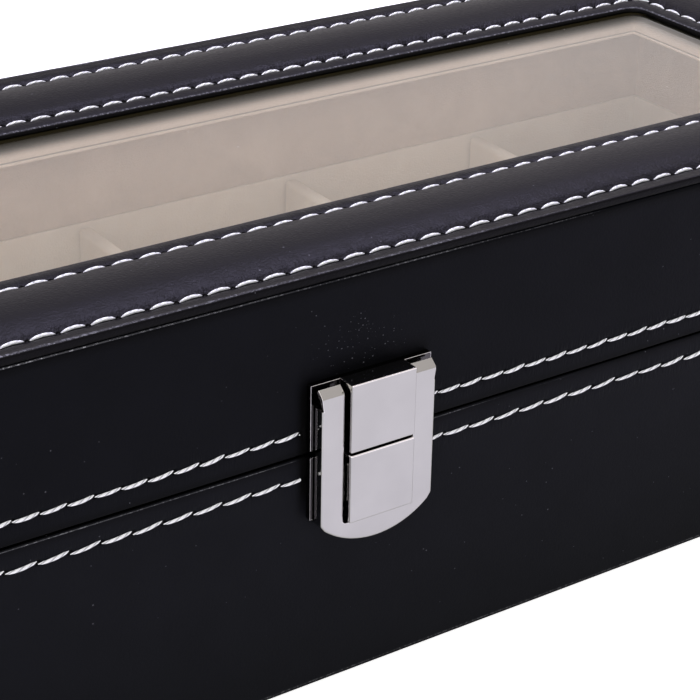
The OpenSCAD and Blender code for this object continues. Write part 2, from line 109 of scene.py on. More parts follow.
def add(tree, kind, links=None, **settings):
    """Adds a node, sets its properties and fills its inputs."""
    node = tree.nodes.new(kind)
    for name, value in settings.items():
        setattr(node, name, value)
    return fill(tree, node, links or {})


def calc(tree, operation, *values, **settings):
    """A Math node."""
    return add(tree, "ShaderNodeMath", dict(enumerate(values)), operation=operation, **settings)


def ramp(tree, value, low, high, start=0.0, end=1.0, **settings):
    """A value that runs from start to end while another runs from low to high."""
    return add(tree, "ShaderNodeMapRange", {"Value": value, "From Min": low, "From Max": high,
        "To Min": start, "To Max": end}, **settings)


def fade(*values, **ends):
    """A ramp that eases in and out."""
    return ramp(*values, interpolation_type="SMOOTHSTEP", **ends)


def mix(tree, share, first, second):
    """Two colours mixed."""
    links = {0: share, 6: first, 7: second}
    return add(tree, "ShaderNodeMix", links, data_type="RGBA").outputs[2]


def bumps(tree, *layers):
    """Bump layers, each a height, a strength and a depth in millimetres, the deepest one first. A
    layer with a negative depth is pressed in."""
    under = None
    for height, strength, depth in layers:
        links = {"Height": height, "Strength": strength, "Distance": abs(depth) * MM}
        if under:
            links["Normal"] = under
        under = add(tree, "ShaderNodeBump", links, invert=depth < 0)
    return under


def noise(tree, place, size, detail=2.0, roughness=0.5):
    """Noise with features of a size in millimetres."""
    return add(tree, "ShaderNodeTexNoise", {"Vector": place, "Scale": 1 / (size * MM),
        "Detail": detail, "Roughness": roughness})


def specks(tree, place, apart, share):
    """One speck in each cell of a size in millimetres, as wide as the share given."""
    cells = add(tree, "ShaderNodeTexVoronoi", {"Vector": place, "Scale": 1 / (apart * MM)})
    return calc(tree, "LESS_THAN", cells.outputs["Distance"], share)


def xyz(tree, **parts):
    """A vector from its parts."""
    return add(tree, "ShaderNodeCombineXYZ", parts)


def split(tree, vector):
    """The parts of a vector, by their names."""
    return add(tree, "ShaderNodeSeparateXYZ", {0: vector}).outputs


def here(tree):
    """The place on the object, in metres."""
    return add(tree, "ShaderNodeTexCoord").outputs["Object"]


def carried(tree, name):
    """A value that the mesh carries at each vertex."""
    return add(tree, "ShaderNodeAttribute", attribute_name=name).outputs["Fac"]


def material(name):
    """A new material with its node tree and a Principled surface on its output."""
    made = bpy.data.materials.new(name)
    made.use_nodes = True
    tree = made.node_tree
    tree.nodes.clear()
    surface = add(tree, "ShaderNodeBsdfPrincipled")
    add(tree, "ShaderNodeOutputMaterial", {"Surface": surface})
    return made, tree, surface


def outwards(mesh):
    """Turns every face to point outwards."""
    bm = bmesh.new()
    bm.from_mesh(mesh)
    bmesh.ops.recalc_face_normals(bm, faces=bm.faces)
    bm.to_mesh(mesh)
    bm.free()


def piece(name, points, faces, finish, body=None, smooth=True, uv=None):
    """A mesh piece from points in millimetres. uv has one pair for each face corner."""
    mesh = bpy.data.meshes.new(name)
    mesh.from_pydata([tuple(float(c) * MM for c in p) for p in points], [], faces)
    if uv is not None:
        mesh.uv_layers.new(name="rows").data.foreach_set("uv", np.asarray(uv, float).ravel())
    outwards(mesh)
    mesh.polygons.foreach_set("use_smooth", [smooth] * len(mesh.polygons))
    made = stood(name, mesh)
    mesh.materials.append(finish)
    if body:
        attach(made, body)
    return made


def dress(mesh, finish):
    """Gives a mesh one material in place of its own."""
    mesh.materials.clear()
    mesh.materials.append(finish)


def stood(name, data):
    """A new object in the scene."""
    made = bpy.data.objects.new(name, data)
    scene.collection.objects.link(made)
    return made


def settle(made):
    """Applies a piece's modifiers and keeps the plain mesh."""
    graph = bpy.context.evaluated_depsgraph_get()
    mesh = bpy.data.meshes.new_from_object(made.evaluated_get(graph))
    made.modifiers.clear()
    made.data = mesh
    return made


def soften(made, width, segments=2, angle=32, edge=None, highlight_facing=None):
    """Rounds the sharp edges of a piece and shades its flats evenly. Where edge is given the rounds
    take it, as a painted highlight; highlight_facing limits that to rounds that face a direction."""
    made.data.polygons.foreach_set("use_smooth", [True] * len(made.data.polygons))
    bevel = made.modifiers.new("round", "BEVEL")
    if edge:
        made.data.materials.append(edge)
        bevel.material = 1
    bevel.width = width * MM
    bevel.segments = segments
    bevel.limit_method = "ANGLE"
    bevel.angle_limit = math.radians(angle)
    made.modifiers.new("even", "WEIGHTED_NORMAL")
    settle(made)
    for face in made.data.polygons if highlight_facing else ():
        if face.material_index and face.normal.dot(highlight_facing) < 0.1:
            face.material_index = 0
    return made


def eased(node, width, finish, segments=2, edge=None, highlight_facing=None):
    """A copy of a solid with its sharp edges rounded over, which stands for that solid."""
    bm = bmesh.new()
    bm.from_mesh(nodes[node].data)
    bmesh.ops.remove_doubles(bm, verts=bm.verts, dist=1e-6)
    bmesh.ops.dissolve_limit(bm, angle_limit=math.radians(1), verts=bm.verts, edges=bm.edges)
    mesh = bpy.data.meshes.new(node + "_eased")
    bm.to_mesh(mesh)
    bm.free()
    made = stood(node + "_eased", mesh)
    dress(mesh, finish)
    soften(made, width, segments, edge=edge, highlight_facing=highlight_facing)
    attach(made, next(b for b, names in bodies.items() if node in names))
    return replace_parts(made, node)


def cut_away(made, boxes):
    """Cuts boxes, given by two corners in millimetres, out of a piece."""
    cutters = []
    for low, high in boxes:
        x, y, z = zip(low, high)
        points = [(x[i], y[j], z[k]) for i in (0, 1) for j in (0, 1) for k in (0, 1)]
        faces = [(0, 1, 3, 2), (4, 6, 7, 5), (0, 4, 5, 1), (2, 3, 7, 6), (0, 2, 6, 4), (1, 5, 7, 3)]
        cutters.append(piece("cutter", points, faces, made.data.materials[0], smooth=False))
        cut = made.modifiers.new("cut", "BOOLEAN")
        cut.object = cutters[-1]
        cut.solver = "EXACT"
    settle(made)
    for cutter in cutters:
        bpy.data.objects.remove(cutter)
    return made


# ---- Finishes ----

def leather(name, face, worn, edge, rough, specular, grain, hole_pitch, sheen):
    """Coated bonded leather, plate-finished: a fine closed grain and a dull gloss. Needle holes
    and the creases that radiate from them follow the stitch rows on the piece's own map. Where the
    mesh's painted_light is above zero, light flecks are painted as highlights; below zero, shade."""
    made, tree, surface = material(name)
    place = here(tree)
    rows = add(tree, "ShaderNodeUVMap", uv_map="rows")
    part = split(tree, rows)
    # needle holes: distance in millimetres from the nearest one
    turn = calc(tree, "ADD", part["X"], 0.5)
    turn = calc(tree, "FRACT", turn)
    turn = calc(tree, "SUBTRACT", turn, 0.5)
    along = calc(tree, "MULTIPLY", turn, hole_pitch)
    spot = xyz(tree, X=along, Y=part["Y"])
    reach = add(tree, "ShaderNodeVectorMath", {0: spot}, operation="LENGTH").outputs["Value"]
    hole = fade(tree, reach, 0.6, 0.2)
    near = calc(tree, "ABSOLUTE", part["Y"])
    near = fade(tree, near, 3.2, 0.3)
    # creases 0.5 mm apart, running away from the row
    crease_map = add(tree, "ShaderNodeMapping", {0: rows, "Scale": (hole_pitch, 0.22, 1.0)})
    creases = add(tree, "ShaderNodeTexNoise", {"Vector": crease_map, "Scale": 2.0, "Detail": 3.0})
    creases = calc(tree, "MULTIPLY", creases, near)
    # closed grain: cells of 0.35 mm, drawn a little coarser than real so that they show
    cells = add(tree, "ShaderNodeTexVoronoi", {"Vector": place, "Scale": 1 / (0.42 * MM)},
        feature="SMOOTH_F1")
    pores = noise(tree, place, 0.9, 4.0, 0.7)
    board = noise(tree, place, 38, 2.0)
    tone = noise(tree, place, 11, 5.0, 0.6)
    mixed = mix(tree, tone, face, worn)
    # painted highlights: broken light flecks 0.6 mm long where painted_light is above zero, and
    # glossier there too
    painted_light = carried(tree, "painted_light")
    flecks = noise(tree, place, 0.6, 3.0, 0.7)
    flecks = ramp(tree, flecks, 0.49, 0.61)
    flecks = calc(tree, "MULTIPLY_ADD", flecks, 0.85, 0.15)
    painted_highlight = calc(tree, "MULTIPLY", painted_light, flecks, use_clamp=True)
    shown = mix(tree, painted_highlight, mixed, edge)
    # painted shade: below zero, and in the needle holes, the leather is painted near black
    under = calc(tree, "MULTIPLY", painted_light, -1.0, use_clamp=True)
    under = calc(tree, "MAXIMUM", under, hole)
    dark = mix(tree, under, shown, "#020202")
    # dust: specks up to 0.13 mm, in patches about 40 mm apart
    patch = ramp(tree, board, 0.36, 0.72, end=0.06)
    speck = specks(tree, place, 2.6, patch)
    # and polishing dust left above the clasp
    patch = add(tree, "ShaderNodeMapping", {0: place, "Location": (-1 * MM, FRONT * MM, 63 * MM),
        "Scale": (14 * MM, 8 * MM, 8 * MM)}, vector_type="TEXTURE")
    patch = add(tree, "ShaderNodeVectorMath", {0: patch}, operation="LENGTH").outputs["Value"]
    patch = fade(tree, patch, 1.0, 0.3)
    grit = ramp(tree, pores, 0.38, 0.66, end=0.24)
    patch = calc(tree, "MULTIPLY", patch, grit)
    fine = specks(tree, place, 0.6, patch)
    speck = calc(tree, "MAXIMUM", speck, fine)
    dusty = mix(tree, speck, dark, "#5e5e64")
    gloss = ramp(tree, pores, 0.3, 0.7, start=rough - 0.05, end=rough + 0.08)
    gloss = calc(tree, "MULTIPLY_ADD", painted_highlight, -0.12, gloss)
    normal = bumps(tree, (cells.outputs["Distance"], grain, 0.08), (pores, grain, 0.07),
        (board, 1.0, 0.35), (creases, 0.8, 0.25), (hole, 1.0, -0.3), (painted_highlight, 1.0, 0.4))
    fill(tree, surface, {"Base Color": dusty, "Roughness": gloss, "Normal": normal,
        "Specular IOR Level": specular, "Sheen Weight": sheen, "Sheen Roughness": 0.45,
        "Sheen Tint": "#8f86b8"})
    return made


def velvet(name, pile, shade, sewn=False):
    """Short-pile velvet glued on card: a soft, matte face, lighter where the pile stands up and
    patchy where it was brushed. Sewn pieces carry their distance from the seam in millimetres."""
    made, tree, surface = material(name)
    place = here(tree)
    brushed = add(tree, "ShaderNodeTexNoise", {"Vector": place, "Scale": 1 / (14 * MM),
        "Detail": 4.0, "Roughness": 0.55, "Distortion": 0.6})
    fibre = noise(tree, place, 0.35, 2.0)
    both = calc(tree, "MULTIPLY", brushed, 0.75)
    fine = calc(tree, "MULTIPLY_ADD", fibre, 0.25, both)
    spread = ramp(tree, fine, 0.36, 0.64)
    colour = mix(tree, spread, shade, pile)
    layers = [(fibre, 0.5, 0.2)]
    if sewn:
        off = carried(tree, "seam")
        off = calc(tree, "ABSOLUTE", off)
        seam = fade(tree, off, 0.9, 0.1)
        # the fabric gathers into folds about 4 mm apart where it is sewn
        near = fade(tree, off, 7.0, 0.5)
        folds = noise(tree, place, 4, 1.0)
        folds = calc(tree, "MULTIPLY", folds, near)
        layers += [(folds, 0.7, 1.2), (seam, 1.0, -0.4)]
        # painted shade along the sunk seam line
        colour = mix(tree, seam, colour, "#c4b59c")
    # painted shade: towards the glass the window's lining is painted dark olive where the frame
    # shades it, and its sheen fades out there too
    painted_light = carried(tree, "painted_light")
    window_shade = calc(tree, "MULTIPLY", painted_light, -1.0, use_clamp=True)
    window_shade = mix(tree, window_shade, colour, "#1f1e0c")
    sheen_outside_shade = calc(tree, "MULTIPLY_ADD", painted_light, 0.25, 0.25, use_clamp=True)
    fill(tree, surface, {"Base Color": window_shade, "Normal": bumps(tree, *layers), "Roughness": 0.92,
        "Specular IOR Level": 0.1, "Sheen Weight": sheen_outside_shade, "Sheen Roughness": 0.4,
        "Sheen Tint": "#fff6e2"})
    return made


def metal(name, tint, rough, streak, swirl):
    """Nickel plate over pressed steel or die-cast zinc: a bright mirror with a warm grey tint,
    faint polishing streaks and a little orange peel."""
    made, tree, surface = material(name)
    place = here(tree)
    pulled = add(tree, "ShaderNodeMapping", {0: place, "Scale": (0.12, 1.0, 1.0)})
    streaks = noise(tree, pulled, 0.3, 3.0)
    peel = noise(tree, place, 6, 1.5)
    gloss = ramp(tree, streaks, 0.3, 0.7, start=rough * 0.8, end=rough * 1.3)
    shade = mix(tree, peel, tint, [c * 0.86 for c in linear(tint)])
    fill(tree, surface, {"Base Color": shade, "Metallic": 1.0, "Roughness": gloss,
        "Normal": bumps(tree, (streaks, streak, 0.02), (peel, swirl, 0.05))})
    return made


def thread():
    """Bonded polyester sewing thread in three plies: bright white, with grey painted in the twist
    as shade.
    """
    made, tree, surface = material("polyester_thread")
    rows = add(tree, "ShaderNodeUVMap", uv_map="twist")
    part = split(tree, rows)
    # two of the plies show at a time, and each crosses in 1.4 mm
    round_it = calc(tree, "MULTIPLY", part["Y"], 2.0)
    turns = calc(tree, "MULTIPLY_ADD", part["X"], 0.7, round_it)
    wave = calc(tree, "MULTIPLY", turns, 2 * math.pi)
    wave = calc(tree, "SINE", wave)
    ply = ramp(tree, wave, -1.0, -0.2)
    place = here(tree)
    fluff = noise(tree, place, 0.25, 2.0)
    # painted shade: grey between the plies, where the twist sinks
    mixed = mix(tree, ply, "#b2b2b6", "#ffffff")
    # painted light: a faint glow in the thread, standing in for the optical brightener in the
    # fibre, makes it render whiter than its lighting gives
    fill(tree, surface, {"Base Color": mixed, "Roughness": 0.55, "Specular IOR Level": 0.4,
        "Sheen Weight": 0.2, "Emission Color": "#f4f5ff", "Emission Strength": 0.12,
        "Normal": bumps(tree, (ply, 0.7, 0.12), (fluff, 0.25, 0.05))})
    return made


def glass():
    """Clear float glass: a clean mirror at a low angle and almost no colour of its own. Along its
    back edge a dark olive
    film is painted as shade: it thins out over 7 mm from the frame and stands for the frame's shade
    and dark reflection."""
    made, tree, surface = material("float_glass")
    fill(tree, surface, {"Base Color": "#fefefe", "Roughness": 0.0, "IOR": 1.5,
        "Transmission Weight": 1.0})
    place = here(tree)
    # dust: specks of 0.2 mm, one in every 7 mm or so
    speck = specks(tree, place, 7, 0.018)
    dust = add(tree, "ShaderNodeBsdfDiffuse", {"Color": "#ece8e4"})
    faced = add(tree, "ShaderNodeMixShader", {0: speck, 1: surface, 2: dust})
    part = split(tree, place)
    # painted shade along the back edge, from the frame out to 7 mm
    back = (DEPTH / 2 - WINDOW) * MM
    edge_shade_share = fade(tree, part["Y"], back - 7 * MM, back - 0.2 * MM, end=0.97)
    painted_frame_shade = add(tree, "ShaderNodeBsdfDiffuse", {"Color": "#1b180c"})
    faced = add(tree, "ShaderNodeMixShader", {0: edge_shade_share, 1: faced, 2: painted_frame_shade})
    path = add(tree, "ShaderNodeLightPath")
    light = calc(tree, "MAXIMUM", path.outputs["Is Shadow Ray"], path.outputs["Is Diffuse Ray"])
    clear = add(tree, "ShaderNodeBsdfTransparent", {"Color": "#fefdfc"})
    either = add(tree, "ShaderNodeMixShader", {0: light, 1: faced, 2: clear})
    out = next(n for n in tree.nodes if n.type == "OUTPUT_MATERIAL")
    tree.links.new(either.outputs[0], out.inputs["Surface"])
    return made


def speckled(name, ground, fleck, size, rough, depth):
    """Boards, foam and felt: a matte ground with flecks of the given size in millimetres."""
    made, tree, surface = material(name)
    place = here(tree)
    flecks = noise(tree, place, size, 5.0, 0.65)
    spread = ramp(tree, flecks, 0.35, 0.65)
    mixed = mix(tree, spread, ground, fleck)
    fill(tree, surface, {"Base Color": mixed, "Roughness": rough, "Specular IOR Level": 0.2,
        "Normal": bumps(tree, (flecks, 0.6, depth))})
    return made


# each leather's third colour is the painted highlight that its edges take
SIDE_LEATHER = leather("smooth_black_leather", "#0b0c10", "#111217", "#d6d6dc", 0.45, 0.04, 0.25,
    4.9, 0.0)
# painted light: the base's leather is a lighter copy of the same black leather, so that the base
# shows brighter than the lid
BASE_LEATHER = leather("smooth_black_leather_painted_lighter", "#101115", "#17181d", "#d6d6dc", 0.45,
    0.04, 0.25, 4.9, 0.0)
PADDED_LEATHER = leather("padded_charcoal_leather", "#121115", "#18171b", "#b6b6be", 0.34, 0.05,
    0.55, 4.94, 0.01)
VELVET = velvet("cream_velvet", "#fff8ea", "#f6ebdb")
# painted shade: the lid's velvet is a darker copy of the base's, for the less light that reaches
# the lid's walls
LID_VELVET = velvet("cream_velvet_painted_darker", "#e5d5c4", "#d5c4b3")
CUSHION_VELVET = velvet("cushion_velvet", "#ecdfcb", "#d9c9b3", sewn=True)
NICKEL = metal("polished_nickel", "#b0afac", 0.05, 0.1, 0.5)
# painted highlight: a brighter copy of the nickel for rounded edges
HIGHLIGHT_NICKEL = metal("nickel_painted_edge_highlight", "#f6f3f3", 0.06, 0.1, 0.2)
# painted shade: a darker copy of the nickel for the clasp's plates
SHADED_NICKEL = metal("nickel_painted_shade", "#4b494a", 0.12, 0.1, 0.3)
HINGE_NICKEL = metal("plated_hinge_steel", "#bdb9b4", 0.22, 0.5, 0.3)
SPRING_STEEL = metal("spring_wire_steel", "#a5a5a8", 0.3, 0.3, 0.2)
THREAD = thread()
GLASS = glass()
PAINTED_BOARD = speckled("black_painted_board", "#0c0c0d", "#1a1918", 0.8, 0.8, 0.1)
FIBREBOARD = speckled("raw_fibreboard", "#8f6a41", "#b58b5d", 0.8, 0.85, 0.1)
FOAM = speckled("open_cell_foam", "#d9d5cb", "#f0ede4", 0.6, 0.95, 0.3)
FELT = speckled("black_felt", "#141416", "#2a2a2e", 0.5, 0.97, 0.3)

for group, finish in {
    "base_floor_lining": VELVET, "glass_pane": GLASS, "frame_foam": FOAM, "base_felt": FELT,
    "clasp_spring": SPRING_STEEL, "clasp_base_nails": HINGE_NICKEL,
    "clasp_lid_nails": HINGE_NICKEL,
}.items():
    dress(nodes[group].data, finish)
for name in nodes:
    if name.endswith("_board") or name.endswith("_rail"):
        dress(nodes[name].data, PAINTED_BOARD if "rail" in name else FIBREBOARD)


# ---- Walking round the box ----

LONG_STEPS, SHORT_STEPS, CORNER_STEPS = 520, 184, 8


def ring(inset, radius):
    """Points once round the box at an inset from its sides, counterclockwise from the front left,
    with the distance walked to each and back to the first, and each point's outward direction."""
    hx, hy = LENGTH / 2 - inset - radius, DEPTH / 2 - inset - radius
    points, outs, walked, far = [], [], [], 0.0
    for start, end, angle in [((-hx, -hy), (hx, -hy), -90), ((hx, -hy), (hx, hy), 0),
            ((hx, hy), (-hx, hy), 90), ((-hx, hy), (-hx, -hy), 180)]:
        a = math.radians(angle)
        steps = LONG_STEPS if angle in (-90, 90) else SHORT_STEPS
        span = math.dist(start, end)
        for i in range(steps):
            t = i / steps
            out = (math.cos(a), math.sin(a))
            points.append([p + (q - p) * t + radius * c for p, q, c in zip(start, end, out)])
            outs.append(out)
            walked.append(far + span * t)
        far += span
        for i in range(CORNER_STEPS):
            b = a + math.pi / 2 * i / CORNER_STEPS
            out = (math.cos(b), math.sin(b))
            points.append([q + radius * c for q, c in zip(end, out)])
            outs.append(out)
            walked.append(far + radius * math.pi / 2 * i / CORNER_STEPS)
        far += radius * math.pi / 2
    return np.array(points), np.array(outs), np.array(walked + [far])


def arc(cx, cz, r, a0, a1, steps):
    """Points along an arc in the plane of (inset, height), between two angles in degrees."""
    angles = [math.radians(a0 + (a1 - a0) * i / steps) for i in range(steps + 1)]
    return [(cx + r * math.cos(a), cz + r * math.sin(a)) for a in angles]


def row(inset, radius, height, stitches, first):
    """A row of stitching: its ring, its height, its stitch count and where its first hole lies."""
    points, _, walked = ring(inset, radius)
    return {"points": points, "height": height, "stitches": stitches, "first": first,
        "phase": (walked - first) * stitches / walked[-1]}


OUTER = row(OUTER_ROW, FRAME_CORNER, STITCH_PLANE, 157, 1.86)
INNER = row(INNER_ROW, FRAME_CORNER, STITCH_PLANE, 129, 1.89)
LID_SIDE = row(0, CORNER, LID_ROW, 178, 2.78)
BASE_SIDE = row(0, CORNER, BASE_ROW, 151, 2.59)


def wobble(count, seed, size):
    """Slow unevenness once round the box, up to about the given size in millimetres."""
    rng = np.random.default_rng(seed)
    t = np.linspace(0, 2 * np.pi, count, endpoint=False)
    total = sum(rng.uniform(-1, 1) * np.sin(k * t + rng.uniform(0, 6.28)) / k ** 0.4
        for k in (3, 5, 9, 16, 27, 41, 67, 103))
    return size * total / 2


def run_round(name, profile, radius_at, row_of, finish, body, move, painted_light=None):
    """A closed profile of (inset, height) points carried once round the box. row_of gives the
    stitch row that a stretch of the profile belongs to and the distance of a point from it; move
    gives how far a point shifts out and up; painted_light is 1 where a highlight is painted and -1
    where shade is painted."""
    loops, worn = [], []
    for inset, height in profile:
        xy, out, _ = ring(inset, radius_at(inset))
        seam, across = row_of(inset, height, inset)
        push, lift = move(inset, height, across, seam["phase"][:-1])
        loops.append(np.column_stack([xy + out * push[:, None], height + lift]))
        worn.append(np.zeros(len(xy)) + (painted_light(inset, height, xy) if painted_light else 0.0))
    count, n = len(loops[0]), len(profile)
    faces, uv = [], []
    for j in range(n):
        k = (j + 1) % n
        middle = (profile[j][0] + profile[k][0]) / 2
        pair = []
        for inset, height in (profile[j], profile[k]):
            seam, across = row_of(inset, height, middle)
            pair.append(np.column_stack([seam["phase"], np.full(count + 1, across)]))
        for i in range(count):
            faces.append((j * count + i, j * count + (i + 1) % count, k * count + (i + 1) % count,
                k * count + i))
        uv.append(np.stack([pair[0][:-1], pair[0][1:], pair[1][1:], pair[1][:-1]], axis=1))
    made = piece(name, np.concatenate(loops), faces, finish, body, uv=np.concatenate(uv))
    made.data.attributes.new("painted_light", "FLOAT", "POINT").data.foreach_set("value",
        np.concatenate(worn))
    return made


# ---- Leather wraps of the two halves ----

def highlight_share(xy):
    """How strong the painted highlights on the edges are: strongest on the left half, fading to the
    right as the light falls off.
    """
    slow = np.sin(xy[:, 0] / 7.3) * np.sin(xy[:, 0] / 19.1 + 1.3)
    return np.clip(0.62 - xy[:, 0] / 130 + 0.3 * slow, 0.12, 1.0)


def pressed(across, phase, depth):
    """How far thread pulls leather in: a groove along the row, deeper at each needle hole."""
    groove = 0.35 + 0.65 * (0.5 + 0.5 * np.cos(2 * np.pi * phase)) ** 2
    return depth * math.exp(-(across / 0.75) ** 2) * groove


def side_move(seed):
    """The wrap is pulled in by its thread and lies a little unevenly, most of all at the rims."""
    count = 2 * (LONG_STEPS + SHORT_STEPS) + 4 * CORNER_STEPS
    slow, rim = wobble(count, seed, 0.05), wobble(count, seed + 1, 0.12)

    def move(inset, height, across, phase):
        push = -pressed(across, phase, 0.3) if inset < 0.3 else np.zeros(count)
        edge = min(abs(height - BASE_RIM), abs(height - LID_RIM), abs(height - WRAP_TOP)) < 0.9
        lift = rim * 0.5 if edge and 0.05 < inset < 1.2 else np.zeros(count)
        return push + (slow - 0.05 if inset < 0.3 and abs(height - 30) > 1 else 0), lift
    return move


def row_heights(z):
    """Heights close together across a row of stitching, so that the groove is smooth."""
    return [z + d for d in (-2.4, -1.6, -1.1, -0.7, -0.35, 0, 0.35, 0.7, 1.1, 1.6, 2.4)]


inner = LEATHER + BOARD
base_profile = ([(10, 0.05), (6, 0.05)] + arc(0.45, 0.5, 0.45, 270, 180, 6)
    + [(0, z) for z in (0.62, 0.74, 0.86, 1.0, 1.4, 6, 14, 24, 33)]
    + [(0, z) for z in row_heights(BASE_ROW)] + arc(0.5, BASE_RIM - 0.5, 0.5, 180, 90, 9)
    + [(3, BASE_RIM), (5.6, BASE_RIM)] + arc(inner - 0.4, BASE_RIM - 0.4, 0.4, 90, 0, 3)
    + [(inner, BASE_RIM - LEATHER), (LEATHER, BASE_RIM - LEATHER), (LEATHER, BASE_LOW + LEATHER),
    (10, BASE_LOW + LEATHER)])
lid_profile = ([(inner, LID_RIM + LEATHER)] + arc(inner - 0.4, LID_RIM + 0.4, 0.4, 0, -90, 3)
    + [(5.6, LID_RIM), (3, LID_RIM)] + arc(0.45, LID_RIM + 0.45, 0.45, 270, 180, 6)
    + [(0, z) for z in row_heights(LID_ROW)] + [(0, z) for z in (56, 62, 68, 72, 73, 73.6)]
    + arc(0.75, 74.15, 0.75, 180, 90, 9) + [(1.1, 74.85), (1.5, WRAP_TOP)]
    + [(OUTER_ROW, WRAP_TOP), (OUTER_ROW, WRAP_TOP - LEATHER), (LEATHER, WRAP_TOP - LEATHER),
    (LEATHER, LID_RIM + LEATHER)])


def side_painted_light(inset, z, xy):
    """Painted highlights on the rounded bottom edge, the base's rim and the top of the wrap;
    painted shade along the folds, on the turned-in leather behind them and in the parting, and as
    the clasp's shadow, black under its plates."""
    if inset > 1.0 or z < 0.5 or BASE_RIM - 0.03 < z < LID_RIM + 0.16:
        return -1.0
    # painted highlight lines: height and strength
    edges = ((0.74, 0.26), (BASE_RIM - 0.26, 1.6), (74.66, 1.9))
    painted_highlight = max(most * math.exp(-((z - edge) / 0.09) ** 2) for edge, most in edges)
    # painted shade along the folds: height, spread and strength
    folds = ((74.1, 0.75, 0.6), (BASE_RIM - 0.4, 0.7, 0.5), (LID_RIM + 0.3, 0.9, 0.5))
    shade = max(most * math.exp(-((z - fold) / far) ** 2) for fold, far, most in folds)
    # painted shadow of the clasp: black under its plates, fading out within about a millimetre
    # beside them, on the front
    beside = np.maximum(np.maximum(SEAT_X[0] - xy[:, 0], xy[:, 0] - SEAT_X[1]), 0.0)
    clasp_shadow = np.exp(-(beside / 0.7) ** 2) * (xy[:, 1] < 0) * (SEAT_Z[0] < z < SEAT_Z[1])
    return (painted_highlight * (highlight_share(xy) if z > 1 else 1.0) - shade) * (1 - clasp_shadow) - clasp_shadow


def side_radius(inset):
    """The radius of an upright corner, smaller further in."""
    return max(CORNER - inset, 0.02)


base_wrap = run_round("base_wrap", base_profile, side_radius,
    lambda inset, z, middle: (BASE_SIDE, z - BASE_ROW), BASE_LEATHER, None, side_move(3), side_painted_light)
lid_wrap = run_round("lid_wrap", lid_profile, side_radius,
    lambda inset, z, middle: (LID_SIDE, z - LID_ROW), SIDE_LEATHER, None, side_move(7), side_painted_light)


def leaf_room(node):
    """The recess that a hinge leaf lies in, up to the rim and open at the back."""
    low, high = (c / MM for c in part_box(node))
    up = node.endswith("lid_leaf")
    return ((low.x - 0.2, low.y - 0.2, LID_RIM - 1 if up else LEAF_FLOOR),
        (high.x + 0.2, DEPTH / 2 + 1, LEAF_ROOF if up else BASE_RIM + 1))


cut_away(base_wrap, [leaf_room("left_hinge_base_leaf"), leaf_room("right_hinge_base_leaf"),
    BUTTON_POCKET])
cut_away(lid_wrap, [leaf_room("left_hinge_lid_leaf"), leaf_room("right_hinge_lid_leaf")])
for wrap, body, node in ((base_wrap, "base", "base_leather"), (lid_wrap, "lid", "lid_leather")):
    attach(wrap, body)
    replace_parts(wrap, node)


# ---- Padded frame round the glass ----

cover_profile = ([(1.55, WRAP_TOP + 0.03), (1.1, 75.18), (0.35, 75.08), (0.0, 75.16), (-0.1, 75.32),
    (-0.14, 75.6), (-0.16, 75.9)] + arc(0.25, STITCH_PLANE + 0.35, 0.42, 180, 90, 9)
    + [(1.0, STITCH_PLANE + 0.68), (1.8, STITCH_PLANE + 0.6), (2.6, STITCH_PLANE + 0.46),
    (3.2, STITCH_PLANE + 0.28), (3.8, STITCH_PLANE + 0.08), (OUTER_ROW, STITCH_PLANE)]
    + [(u, STITCH_PLANE + z) for u, z in [(4.6, 0.1), (5.2, 0.33), (6.0, 0.66), (7.0, 1.0),
    (8.4, 1.35), (9.8, 1.57), (11.3, 1.68), (12.8, 1.7), (14.3, 1.67), (15.8, 1.55), (17.4, 1.32),
    (18.8, 1.0), (19.8, 0.7), (20.5, 0.38), (21.0, 0.1), (INNER_ROW, 0), (21.8, 0.04), (22.3, 0.08),
    (23.0, 0.13), (23.8, 0.12), (24.4, 0.05), (24.8, -0.04), (24.98, -0.1), (25.1, -0.17),
    (25.22, -0.26), (25.38, -0.42), (25.55, -0.66), (WINDOW, -0.9)]]
    + [(WINDOW, GLASS_TOP + 0.1), (WINDOW - 0.3, GLASS_TOP + 0.1), (OUTER_ROW, GLASS_TOP + 0.1),
    (OUTER_ROW, WRAP_TOP + 0.03)])


def cover_move(inset, height, across, phase):
    """The cover sinks along its thread, swells between the needle holes and lies unevenly."""
    count = len(phase)
    drop = pressed(across, phase, 0.3)
    beside = math.exp(-((abs(across) - 1.5) / 0.8) ** 2)
    puff = 0.1 * beside * (0.5 - 0.5 * np.cos(2 * np.pi * phase))
    top = height > STITCH_PLANE - 0.05 and 0.9 < inset < 24.9
    lift = puff - drop if top else np.zeros(count)
    if 6 < inset < 20:
        lift = lift + wobble(count, 11 + int(inset), 0.05)
    if inset < 2.2 and height > WRAP_TOP + 0.2:
        lift = lift + wobble(count, 5, 0.09)
    push = wobble(count, 6, 0.08) if inset < 0.9 and height > 75.2 else np.zeros(count)
    return push, lift


def cover_painted_light(inset, z, xy):
    """Painted light on the padded cover: a painted highlight along the top of the rolled edge,
    fainter to the right, and painted shade on its lower side and down in the crease; at the window
    a thin painted highlight on the fold, and its wall painted dark as shade."""
    if inset > 24.6:
        return 0.85 * math.exp(-((inset - 25.13) / 0.13) ** 2) if inset < 25.25 else -0.9
    if inset > 3.6 or z < 74.9:
        return 0.0
    if inset < 1.6 and z < STITCH_PLANE + 0.68:
        return -1.0 if z < 75.4 else -0.5
    return 0.75 * math.exp(-((inset - 0.22) / 0.25) ** 2) * highlight_share(xy) - 0.1


def cover_row(inset, z, middle):
    """The outer or the inner row of the frame, whichever is nearer, and the distance from it."""
    if middle < (OUTER_ROW + INNER_ROW) / 2:
        return OUTER, inset - OUTER_ROW
    return INNER, inset - INNER_ROW


